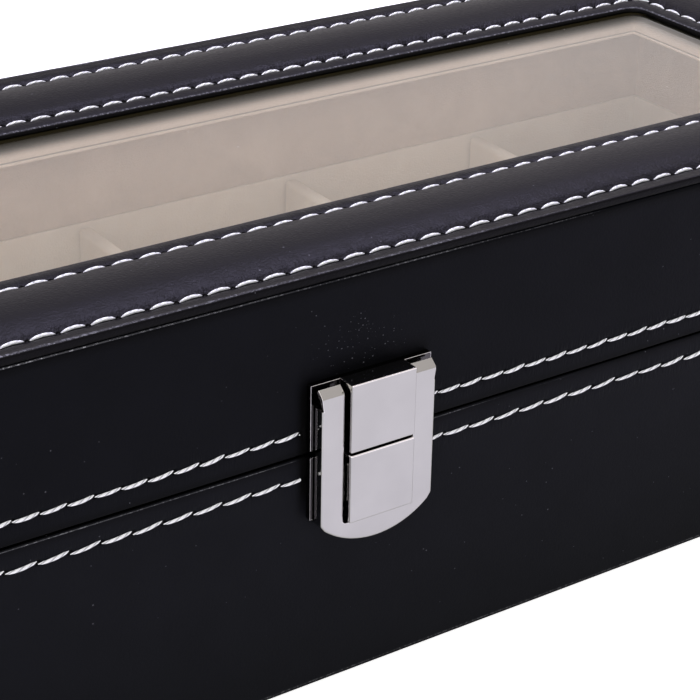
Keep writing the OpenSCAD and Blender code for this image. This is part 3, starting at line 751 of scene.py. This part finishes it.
frame_cover = run_round("frame_cover", cover_profile, lambda inset: FRAME_CORNER, cover_row,
    PADDED_LEATHER, "lid", cover_move, cover_painted_light)
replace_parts(frame_cover, "frame_leather")


# ---- Stitching ----

def growth(name, sockets):
    """A geometry node tree with named inputs, and those inputs."""
    tree = bpy.data.node_groups.new(name, "GeometryNodeTree")
    for socket, kind in sockets.items():
        tree.interface.new_socket(socket, in_out="INPUT", socket_type="NodeSocket" + kind)
    tree.interface.new_socket("Geometry", in_out="OUTPUT", socket_type="NodeSocketGeometry")
    return tree, add(tree, "NodeGroupInput").outputs


def capture(tree, geometry, kind, name, value):
    """Holds a value on each point of a geometry under a name."""
    held = add(tree, "GeometryNodeCaptureAttribute", {"Geometry": geometry})
    held.capture_items.new(kind, name)
    return fill(tree, held, {name: value})


def lay(tree, places, pattern, finish, turns=None):
    """Ends a tree: a copy of the pattern on each place, made real, with its material."""
    laid = add(tree, "GeometryNodeInstanceOnPoints", {"Points": places, "Instance": pattern,
        **(turns or {})})
    solid = add(tree, "GeometryNodeRealizeInstances", {"Geometry": laid})
    done = add(tree, "GeometryNodeSetMaterial", {"Geometry": solid, "Material": finish})
    add(tree, "NodeGroupOutput", {0: done})
    return tree


def stitch_tree():
    """Geometry nodes that lay one thread stitch between each pair of needle holes on a path."""
    tree, given = growth("row_of_stitches", {"Path": "Geometry", "Stitches": "Int",
        "First hole": "Float", "Stitch length": "Float", "Rise": "Float", "Thread radius": "Float",
        "Sink": "Float", "Slant": "Float", "Unevenness": "Float", "Flatness": "Float",
        "Faces up": "Float", "Gap": "Float", "Seed": "Int", "Thread": "Material"})

    # the thread: a bow from hole to hole, thickest in the middle
    half = calc(tree, "MULTIPLY", given["Stitch length"], 0.5)
    back = calc(tree, "MULTIPLY", half, -1.0)
    deep = calc(tree, "MULTIPLY", given["Sink"], -1.0)
    high = calc(tree, "MULTIPLY_ADD", given["Rise"], 2.0, given["Sink"])
    left = xyz(tree, X=back, Z=deep)
    crown = xyz(tree, Z=high)
    right = xyz(tree, X=half, Z=deep)
    bow = add(tree, "GeometryNodeCurveQuadraticBezier", {"Resolution": 8, "Start": left,
        "Middle": crown, "End": right})
    along = add(tree, "GeometryNodeSplineParameter").outputs["Factor"]
    bell = calc(tree, "MULTIPLY", along, math.pi)
    bell = calc(tree, "SINE", bell)
    bell = calc(tree, "POWER", bell, 0.38)
    bell = calc(tree, "MULTIPLY_ADD", bell, 0.78, 0.22)
    size = calc(tree, "MULTIPLY", bell, given["Thread radius"])
    kept = capture(tree, bow, "FLOAT", "along", along)
    loop = add(tree, "GeometryNodeCurvePrimitiveCircle", {"Resolution": 6, "Radius": 1.0})
    turn = add(tree, "GeometryNodeSplineParameter").outputs["Factor"]
    around = capture(tree, loop.outputs["Curve"], "FLOAT", "around", turn)
    strand = add(tree, "GeometryNodeCurveToMesh", {"Curve": kept.outputs["Geometry"], "Scale": size,
        "Fill Caps": True, "Profile Curve": around.outputs["Geometry"]})
    run = calc(tree, "MULTIPLY", kept.outputs["along"], 4.4)
    twist = xyz(tree, X=run, Y=around.outputs["around"])
    mapped = add(tree, "GeometryNodeStoreNamedAttribute", {"Geometry": strand, "Name": "twist",
        "Value": twist}, data_type="FLOAT2", domain="CORNER")
    soft = add(tree, "GeometryNodeSetShadeSmooth", {"Geometry": mapped})

    # where the stitches go: midway between holes, evenly spaced along the closed path
    index = add(tree, "GeometryNodeInputIndex")
    curve = add(tree, "GeometryNodeMeshToCurve", {"Mesh": given["Path"]})
    length = add(tree, "GeometryNodeCurveLength", {"Curve": curve})
    pitch = calc(tree, "DIVIDE", length, given["Stitches"])
    middle = calc(tree, "ADD", index, 0.5)
    place = calc(tree, "MULTIPLY_ADD", middle, pitch, given["First hole"])
    place = calc(tree, "FLOORED_MODULO", place, length)
    sample = add(tree, "GeometryNodeSampleCurve", {"Curves": curve, "Length": place}, mode="LENGTH",
        use_all_curves=True)
    spots = add(tree, "GeometryNodePoints",
        {"Count": given["Stitches"], "Position": sample.outputs["Position"]})
    heading = capture(tree, spots, "VECTOR", "tangent", sample.outputs["Tangent"])
    tangent = heading.outputs["tangent"]
    sideways = add(tree, "ShaderNodeVectorMath", {0: tangent, 1: (0, 0, 1)},
        operation="CROSS_PRODUCT")
    facing = add(tree, "ShaderNodeMix", {0: given["Faces up"], 4: sideways, 5: (0, 0, 1)},
        data_type="VECTOR")
    stand = add(tree, "FunctionNodeAxesToRotation", {0: facing.outputs[1], 1: tangent},
        primary_axis="Z", secondary_axis="X")
    less = calc(tree, "MULTIPLY", given["Unevenness"], -1.0)
    jitter = add(tree, "FunctionNodeRandomValue", {2: less, 3: given["Unevenness"],
        "Seed": given["Seed"]})
    yaw = calc(tree, "ADD", given["Slant"], jitter.outputs[1])
    lean = xyz(tree, Z=yaw)
    lean = add(tree, "FunctionNodeEulerToRotation", {0: lean})
    turned = add(tree, "FunctionNodeRotateRotation", {0: stand, 1: lean}, rotation_space="LOCAL")
    second = calc(tree, "ADD", given["Seed"], 9)
    swell = add(tree, "FunctionNodeRandomValue", {2: 0.92, 3: 1.08, "Seed": second})
    tall = calc(tree, "MULTIPLY", swell.outputs[1], given["Flatness"])
    # a stitch that spans an upright corner is short, so that its ends stay on the leather
    spot = split(tree, add(tree, "GeometryNodeInputPosition"))
    wide = calc(tree, "ABSOLUTE", spot["X"])
    far = calc(tree, "ABSOLUTE", spot["Y"])
    ends = [calc(tree, "GREATER_THAN", reach, (side / 2 - CORNER_STITCH) * MM)
        for reach, side in ((wide, LENGTH), (far, DEPTH))]
    both = calc(tree, "MULTIPLY", ends[0], ends[1])
    short = calc(tree, "MULTIPLY_ADD", both, -0.5, 1.0)
    scale = xyz(tree, X=short, Y=swell.outputs[1], Z=tall)
    # no stitches behind the clasp
    clear = add(tree, "FunctionNodeCompare", {0: wide, 1: given["Gap"]}, operation="GREATER_THAN")
    behind = add(tree, "FunctionNodeCompare", {0: spot["Y"], 1: 0.0},
        operation="GREATER_THAN")
    keep = add(tree, "FunctionNodeBooleanMath", {0: clear, 1: behind}, operation="OR")
    return lay(tree, heading.outputs["Geometry"], soft, given["Thread"],
        {"Selection": keep, "Rotation": turned, "Scale": scale})


STITCH_TREE = stitch_tree()


def grow(name, points, tree, values, edges=()):
    """Runs a node tree over points in millimetres and keeps the result as a plain mesh."""
    mesh = bpy.data.meshes.new(name)
    mesh.from_pydata([tuple(float(c) * MM for c in p) for p in points], edges, [])
    made = stood(name, mesh)
    modifier = made.modifiers.new("grow", "NODES")
    modifier.node_group = tree
    sockets = {s.name: s.identifier for s in tree.interface.items_tree if s.in_out == "INPUT"}
    for key, value in values.items():
        modifier[sockets[key]] = value
    return settle(made)


def stitches(name, seam, body, proud, **values):
    """One row of stitching, laid a little proud of the leather."""
    points = np.column_stack([seam["points"] * 1.0, np.full(len(seam["points"]), seam["height"])])
    if values["Faces up"]:
        points[:, 2] += proud
    else:
        out = ring(0, CORNER)[1]
        points[:, :2] += out * proud
    count = len(points)
    edges = [(i, (i + 1) % count) for i in range(count)]
    given = {"Stitches": seam["stitches"], "First hole": seam["first"] * MM, "Thread": THREAD}
    given.update(values)
    made = grow(name, points, STITCH_TREE, given, edges)
    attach(made, body)
    return made


top = {"Stitch length": 4.1 * MM, "Rise": 0.17 * MM, "Thread radius": 0.33 * MM, "Sink": 0.28 * MM,
    "Slant": 0.05, "Unevenness": 0.03, "Flatness": 0.72, "Faces up": 1.0, "Gap": 0.0}
stitches("outer_stitching", OUTER, "lid", 0.2, Seed=2, **top)
stitches("inner_stitching", INNER, "lid", -0.02, Seed=5, **top)
side = {"Rise": 0.2 * MM, "Thread radius": 0.33 * MM, "Sink": 0.22 * MM, "Slant": 0.11,
    "Unevenness": 0.06, "Flatness": 0.8, "Faces up": 0.0, "Gap": 10.5 * MM}
cut_away(stitches("lid_side_stitching", LID_SIDE, "lid", -0.1, Seed=8,
    **{"Stitch length": 4.45 * MM}, **side), [BEHIND_CLASP])
cut_away(stitches("base_side_stitching", BASE_SIDE, "base", -0.1, Seed=11,
    **{"Stitch length": 5.2 * MM}, **side), [BEHIND_CLASP])


# ---- Linings ----

def lining(name, profile, radius, body, node, finish, painted_light=None):
    """A closed profile of velvet-covered card carried round the room, with square corners."""
    made = run_round(name, profile, lambda inset: radius, lambda inset, z, middle: (INNER, 9.0),
        finish, body, lambda inset, z, across, phase: np.zeros((2, len(phase))), painted_light)
    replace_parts(made, node)
    return made


# flat walls need far fewer points round the box than leather with stitch holes
LONG_STEPS, SHORT_STEPS, CORNER_STEPS = 24, 10, 3
room = inner + LINING
INNER = row(INNER_ROW, FRAME_CORNER, STITCH_PLANE, 129, 1.89)
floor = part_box("base_wall_lining")[0].z / MM
lining("base_lining", [(inner, floor), (inner, 44.8)] + arc(inner + 0.4, 44.8, 0.4, 180, 0, 8)
    + [(room, 44), (room, floor)],
    0.15, "base", "base_wall_lining", VELVET)
rail_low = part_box("lid_front_board")[1].z / MM
lining("lid_lining", [(inner, rail_low - LINING), (inner, 45.5)]
    + arc(room - 0.2, 45.5, 0.2, 270, 360, 4) + [(room, 47), (room, rail_low - LINING)],
    0.15, "lid", "lid_wall_lining", LID_VELVET)
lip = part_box("frame_lining")[1].z / MM
# painted shade on the wall of the window at each height, darkest at the glass where the frame
# shades it; a darker line is painted where the lining rounds into its wall
shade_by_height = {69.1: 0, 69.5: 0.02, 69.9: 0.08, 70.3: 0.2, 70.7: 0.42, 71.2: 0.68, 71.6: 0.86, 72.0: 0.96,
    72.35: 1}
TURNED_IN = 68.72                       # where the window's lining rounds into its wall
lining("window_lining", [(inner, rail_low), (inner, rail_low - LINING)]
    + arc(WINDOW - 0.32, rail_low - LINING + 0.32, 0.32, 270, 400, 6)
    + [(WINDOW - 0.3, TURNED_IN), (WINDOW - 0.04, 68.92)] + [(WINDOW, z) for z in (*shade_by_height, lip)]
    + [(WINDOW - LINING, lip), (WINDOW - LINING, rail_low)],
    0.3, "lid", "frame_lining", LID_VELVET, lambda inset, z, xy:
    -0.75 if z == TURNED_IN else -np.interp(z, list(shade_by_height), list(shade_by_height.values())))

# velvet-covered cards that part the compartments
card_names = ["divider_%d" % i for i in range(1, COMPARTMENTS)]


def card_tree():
    """Geometry nodes that stand one card on each point."""
    tree, given = growth("row_of_cards", {"Places": "Geometry", "Thickness": "Float",
        "Depth": "Float", "Height": "Float", "Velvet": "Material"})
    size = xyz(tree, X=given["Thickness"], Y=given["Depth"], Z=given["Height"])
    card = add(tree, "GeometryNodeMeshCube", {"Size": size, "Vertices X": 2, "Vertices Y": 12,
        "Vertices Z": 5})
    return lay(tree, given["Places"], card.outputs["Mesh"], given["Velvet"])


lows, highs = zip(*(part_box(name) for name in card_names))
size = highs[0] - lows[0]
cards = grow("compartment_cards", [(a + b) / 2 / MM for a, b in zip(lows, highs)], card_tree(),
    {"Thickness": size.x, "Depth": size.y, "Height": size.z, "Velvet": VELVET})
soften(cards, CARD_EDGE, 4)
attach(cards, "base")
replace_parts(cards, *card_names)


# ---- Cushions ----

def pillow_shape(low, high):
    """A slightly small pillow: a rounded band with flat ends, to be puffed out."""
    w, d = (high.x - low.x) / 2 - 1.6, (high.y - low.y) / 2 - 1.4
    h = high.z - low.z - 1.6
    outline = []
    for cy, cz, r, a0 in [(d - 12, h - 12, 12, 0), (-(d - 12), h - 12, 12, 90),
            (-(d - 6), 6, 6, 180), (d - 6, 6, 6, 270)]:
        outline += arc(cy, cz, r, a0, a0 + 90, 7)
    n = len(outline)
    points = [(s * w, y, z) for s in (-1, 1) for y, z in outline]
    faces = [tuple(range(n)), tuple(range(n, 2 * n))]
    faces += [(i, (i + 1) % n, n + (i + 1) % n, n + i) for i in range(n)]
    return points, faces, w


def seam_distance(spots, seam_x, points):
    """Millimetres from the seam between the band and an end: plus on the band, minus on it."""
    line = np.array([(y, z) for x, y, z in points[:len(points) // 2]])
    ahead = np.roll(line, -1, axis=0) - line
    flat = spots[:, None, 1:] - line
    t = np.clip((flat * ahead).sum(2) / (ahead ** 2).sum(1), 0, 1)
    inward = np.linalg.norm(flat - ahead * t[:, :, None], axis=2).min(1)
    return (seam_x - np.abs(spots[:, 0])) - inward


def puffed(name, points, faces, seam_x, finish):
    """Fills the pillow with air: the seams hold, and the fabric between them swells."""
    made = piece(name, points, faces, finish)
    grid = made.modifiers.new("grid", "REMESH")
    grid.mode = "VOXEL"
    grid.voxel_size = 4.2 * MM
    settle(made)
    start = np.array([v.co for v in made.data.vertices])
    made.data.attributes.new("seam", "FLOAT", "POINT").data.foreach_set("value",
        seam_distance(start / MM, seam_x, points))
    held = made.vertex_groups.new(name="seams")
    edge = np.abs(start[:, 0]) > (seam_x - 2.2) * MM
    # the middle of each end is left free to swell
    mid = (np.abs(start[:, 1]) < 24 * MM) & (start[:, 2] > 9 * MM) & (start[:, 2] < 24 * MM)
    held.add([int(i) for i in np.nonzero(edge & ~mid)[0]], 0.35, "REPLACE")
    cloth = made.modifiers.new("puff", "CLOTH")
    for key, value in {"quality": 6, "mass": 0.25, "use_pressure": True,
            "uniform_pressure_force": 4.0, "shrink_min": -0.06, "vertex_group_mass": "seams",
            "pin_stiffness": 1.0}.items():
        setattr(cloth.settings, key, value)
    cloth.settings.effector_weights.gravity = 0.0
    cloth.point_cache.frame_start, cloth.point_cache.frame_end = 1, PUFF_FRAMES
    for f in range(1, PUFF_FRAMES + 1):
        scene.frame_set(f)
    settle(made)
    moved = np.array([v.co for v in made.data.vertices])
    shift = moved - start
    far = np.linalg.norm(shift, axis=1)[:, None]
    start = start + shift * np.minimum(1.0, MOST_SWELL * MM / np.maximum(far, 1e-9))
    scene.frame_set(1)
    made.vertex_groups.clear()
    for v, co in zip(made.data.vertices, start):
        v.co = co
    finer = made.modifiers.new("finer", "SUBSURF")
    finer.levels = finer.render_levels = 1
    return settle(made)


cushion_low, cushion_high = (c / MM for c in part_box("cushion_1"))
points, faces, seam_x = pillow_shape(cushion_low, cushion_high)
pillow = puffed("cushion_pattern", points, faces, seam_x, CUSHION_VELVET)
shape = np.array([v.co for v in pillow.data.vertices])
width, depth, height = ((b - a) * MM for a, b in zip(cushion_low, cushion_high))
for k, room_for in enumerate((width, depth)):
    shape[:, k] *= min(1.0, room_for / 2 / np.abs(shape[:, k]).max())
shape[:, 2] -= shape[:, 2].min()
shape[:, 2] *= min(1.0, height / shape[:, 2].max())
for i in range(1, COMPARTMENTS + 1):
    name = "cushion_%d" % i
    low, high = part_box(name)
    mesh = pillow.data.copy()
    rng = np.random.default_rng(40 + i)
    a, b, c = rng.uniform(0, 6.28, 3)
    own = shape.copy()
    top_share = own[:, 2] / height
    dip = 0.35 + 0.35 * np.sin(own[:, 0] * 150 + a) * np.sin(own[:, 1] * 80 + b)
    own[:, 2] -= dip * MM * top_share
    own[:, 0] *= 1 - 0.012 * (1 + np.sin(own[:, 1] * 90 + c))
    own += np.array([(low.x + high.x) / 2, (low.y + high.y) / 2, low.z])
    mesh.vertices.foreach_set("co", own.ravel())
    made = stood("pillow_%d" % i, mesh)
    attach(made, name)
    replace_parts(made, name)
bpy.data.objects.remove(pillow)


# ---- Clasp ----

def at(x, out, z):
    """A point on the clasp: across, out from the leather, and height."""
    return (x, FRONT - out, z)


def clasp_cover():
    """The U-shaped cover as folded sheet: face, returned sides and bent arm tops."""
    low, high = (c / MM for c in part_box("clasp_cover"))
    half, bottom, arm_top = high.x, low.z, 56.4
    bow, slot, slot_low, out, sheet = 4.5, 6.8, 32.6, 3.6, 0.8
    radius = (half ** 2 + bow ** 2) / (2 * bow)
    spread = math.asin(half / radius)
    curve = [(radius * math.sin(a), bottom + radius - radius * math.cos(a))
        for a in np.linspace(-spread, spread, 25)]
    curve = [(-half, bottom + bow + 1.2), (-half, bottom + bow + 0.5),
        (-half + 0.18, bottom + bow + 0.12)] + curve[1:-1] + [(half - 0.18, bottom + bow + 0.12),
        (half, bottom + bow + 0.5), (half, bottom + bow + 1.2)]
    notch = arm_top - 2.0
    points, faces = [], []

    def put(x, o, z):
        points.append(at(x, o, z))
        return len(points) - 1

    outline = [(-half, arm_top), (-half, notch)] + curve + [(half, notch), (half, arm_top),
        (slot, arm_top)]
    outline += [(slot + (math.cos(a) - 1) * 0.8, slot_low + 0.8 + math.sin(a) * 0.8)
        for a in np.linspace(0, -math.pi / 2, 5)]
    outline += [(-slot + (1 - math.cos(a)) * 0.8, slot_low + 0.8 + math.sin(a) * 0.8)
        for a in np.linspace(-math.pi / 2, 0, 5)]
    outline += [(-slot, arm_top)]
    ids = [put(x, out, z) for x, z in outline]
    faces.append(tuple(ids))
    rim = ids[1:1 + len(curve) + 2]
    back = []
    for k, i in enumerate(rim):
        x, z = outline[k + 1]
        back.append(put(x, 1.5 if z > 33.3 else 0.25, z))
    faces += [(rim[k], back[k], back[k + 1], rim[k + 1]) for k in range(len(rim) - 1)]
    for a, b in ((ids[0], ids[-1]), (ids[len(curve) + 3], ids[len(curve) + 4])):
        before = (a, b)
        for o, z in ((3.5, 0.3), (3.22, 0.62), (2.25, 1.4)):
            step = [put(points[i][0], o, arm_top + z) for i in (a, b)]
            faces.append((before[0], before[1], step[1], step[0]))
            before = step
    made = piece("clasp_cover_plate", points, faces, NICKEL, smooth=True)
    # one sheet: the face looks forward, and the thickness goes inwards
    if made.data.polygons[0].normal.y > 0:
        made.data.flip_normals()
    fold = made.modifiers.new("fold", "BEVEL")
    fold.width, fold.segments = 0.3 * MM, 3
    fold.limit_method, fold.angle_limit = "ANGLE", math.radians(50)
    wall = made.modifiers.new("wall", "SOLIDIFY")
    wall.thickness, wall.offset, wall.use_even_offset = sheet * MM * 0.8, -1.0, True
    settle(made)
    # the cover's rounds take the painted highlight
    soften(made, 0.15, 2, 40, HIGHLIGHT_NICKEL)
    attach(made, "base")
    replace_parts(made, "clasp_cover")
    return made


clasp_cover()
# painted shade and highlight: the plates' faces are a darker copy of the nickel, and a brighter
# copy goes on all their rounds and on the rounds of the two blocks that face up
facing_up = Vector((0.0, 0.0, 1.0))
for node, width, face, lit_side in (("clasp_lid_plate", 0.24, SHADED_NICKEL, None),
        ("clasp_base_plate", 0.24, SHADED_NICKEL, None), ("clasp_striker", 0.2, NICKEL, facing_up),
        ("clasp_button", 0.24, NICKEL, facing_up)):
    eased(node, width, face, 3, HIGHLIGHT_NICKEL, lit_side)


def clasp_spring():
    """The coil spring: a copy of its solid in spring steel, moving with the base."""
    mesh = nodes["clasp_spring"].data.copy()
    dress(mesh, SPRING_STEEL)
    made = stood("button_spring", mesh)
    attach(made, "base")
    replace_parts(made, "clasp_spring")
    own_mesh(made)


clasp_spring()


# ---- Hinges ----

for side_name in ("left", "right"):
    for part_name in ("base_leaf", "lid_leaf", "pin"):
        eased("%s_hinge_%s" % (side_name, part_name), 0.12, HINGE_NICKEL)


def screw_tree():
    """Geometry nodes that drive one screw in at each point, turned by its own amount."""
    tree, given = growth("row_of_screws", {"Places": "Geometry", "Screw": "Object",
        "Points down": "Float", "Seed": "Int", "Metal": "Material"})
    screw = add(tree, "GeometryNodeObjectInfo", {"Object": given["Screw"]})
    turn = add(tree, "FunctionNodeRandomValue", {2: 0.0, 3: 1.5, "Seed": given["Seed"]})
    flip = calc(tree, "MULTIPLY", given["Points down"], math.pi)
    lean = xyz(tree, X=flip, Z=turn.outputs[1])
    lean = add(tree, "FunctionNodeEulerToRotation", {0: lean})
    return lay(tree, given["Places"], screw.outputs["Geometry"], given["Metal"], {"Rotation": lean})


def screw():
    """A countersunk wood screw with a cross recess, its head at the origin and its point up."""
    rings = [(0.0, 0.0), (1.55, 0.0), (1.68, 0.1), (0.8, 0.8), (0.8, 1.6)]
    turns = 9
    for k in range(turns):
        z = 1.8 + k * 0.62
        rings += [(0.52, z), (0.78, z + 0.3)]
    rings += [(0.4, 7.5), (0.0, 7.95)]
    n = 16
    points, faces = [], []
    for r, z in rings:
        points += [(max(r, 0.005) * math.cos(2 * math.pi * i / n),
            max(r, 0.005) * math.sin(2 * math.pi * i / n), z) for i in range(n)]
    for j in range(len(rings) - 1):
        faces += [(j * n + i, j * n + (i + 1) % n, (j + 1) * n + (i + 1) % n, (j + 1) * n + i)
            for i in range(n)]
    faces += [tuple(range(n)), tuple(range((len(rings) - 1) * n, len(rings) * n))]
    made = piece("screw_pattern", points, faces, HINGE_NICKEL)
    return cut_away(made, [((-x, -y, -0.5), (x, y, 0.55)) for x, y in ((1.1, 0.2), (0.2, 1.1))])


pattern = screw()
screws = screw_tree()
for name, body, z, down, seed in (("hinge_base_screws", "base", BASE_HEADS, 1.0, 3),
        ("hinge_lid_screws", "lid", LID_HEADS, 0.0, 5)):
    places = [(s * HINGE_X + t * SCREW_PITCH / 2, DEPTH / 2 - SCREW_INSET, z)
        for s in (-1, 1) for t in (-1, 1)]
    made = grow(name + "_driven", places, screws,
        {"Screw": pattern, "Points down": down, "Seed": seed, "Metal": HINGE_NICKEL})
    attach(made, body)
    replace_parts(made, name)
bpy.data.objects.remove(pattern)


# ---- Floor, light and camera ----

ground, tree, surface = material("white_table")
path = add(tree, "ShaderNodeLightPath")
seen = calc(tree, "MAXIMUM", path.outputs["Is Glossy Ray"], path.outputs["Is Transmission Ray"])
lift = calc(tree, "MULTIPLY", seen, 0.34)
lift = calc(tree, "MULTIPLY_ADD", path.outputs["Is Camera Ray"], 0.75, lift)
fill(tree, surface, {"Base Color": "#e8e6e6", "Roughness": 0.9, "Specular IOR Level": 0.0,
    "Emission Color": "#ffffff", "Emission Strength": lift})
table = piece("table", [(-3000, -3000, 0), (3000, -3000, 0), (3000, 3000, 0), (-3000, 3000, 0)],
    [(0, 1, 2, 3)], ground)

world = bpy.data.worlds.new("studio")
scene.world = world
world.use_nodes = True
tree = world.node_tree
tree.nodes.clear()
path = add(tree, "ShaderNodeLightPath")
seen = calc(tree, "MAXIMUM", path.outputs["Is Camera Ray"], path.outputs["Is Glossy Ray"])
seen = calc(tree, "MAXIMUM", seen, path.outputs["Is Transmission Ray"])
backdrop = mix(tree, path.outputs["Is Camera Ray"], "#f6efee", "#ffffff")
shown = add(tree, "ShaderNodeBackground", {"Color": backdrop, "Strength": 1.0})
soft = add(tree, "ShaderNodeBackground", {"Color": "#f4f3f3", "Strength": 0.5})
both = add(tree, "ShaderNodeMixShader", {0: seen, 1: soft, 2: shown})
add(tree, "ShaderNodeOutputWorld", {"Surface": both})


def softbox(name, place, aim, width, height, power, colour):
    """A large soft lamp at a place in metres, turned to face a point."""
    lamp = bpy.data.lights.new(name, "AREA")
    lamp.shape = "RECTANGLE"
    lamp.size, lamp.size_y = width, height
    lamp.energy = power
    lamp.color = linear(colour)[:3]
    made = stood(name, lamp)
    made.location = place
    made.rotation_euler = (Vector(aim) - Vector(place)).to_track_quat("-Z", "Y").to_euler()


softbox("overhead", (-0.25, -0.15, 1.2), (0, 0, 0.05), 1.5, 1.2, 6.6, "#fffdf9")
softbox("sheen", (0.36, 0.32, 1.0), (0.36, -0.04, 0.076), 0.8, 0.28, 11.0, "#dcd6ff")
softbox("front_fill", (-0.9, -1.1, 0.45), (0, 0, 0.05), 0.9, 0.7, 3.0, "#fbfbff")

camera = stood("camera", bpy.data.cameras.new("camera"))
camera.data.sensor_width, camera.data.lens = 36.0, 108.0
camera.data.clip_start, camera.data.clip_end = 0.01, 20.0
azimuth, elevation, roll = (math.radians(a) for a in (-34.24, 26.73, 1.11))
backward = Vector((math.sin(azimuth) * math.cos(elevation),
    -math.cos(azimuth) * math.cos(elevation), math.sin(elevation)))
across = Vector((math.cos(azimuth), math.sin(azimuth), 0))
upward = backward.cross(across)
turned = Matrix((across * math.cos(roll) + upward * math.sin(roll),
    upward * math.cos(roll) - across * math.sin(roll), backward)).transposed()
camera.matrix_world = Matrix.Translation((-0.17063, -0.29901, 0.21156)) @ turned.to_4x4()
scene.camera = camera
scene.view_settings.view_transform = "Standard"
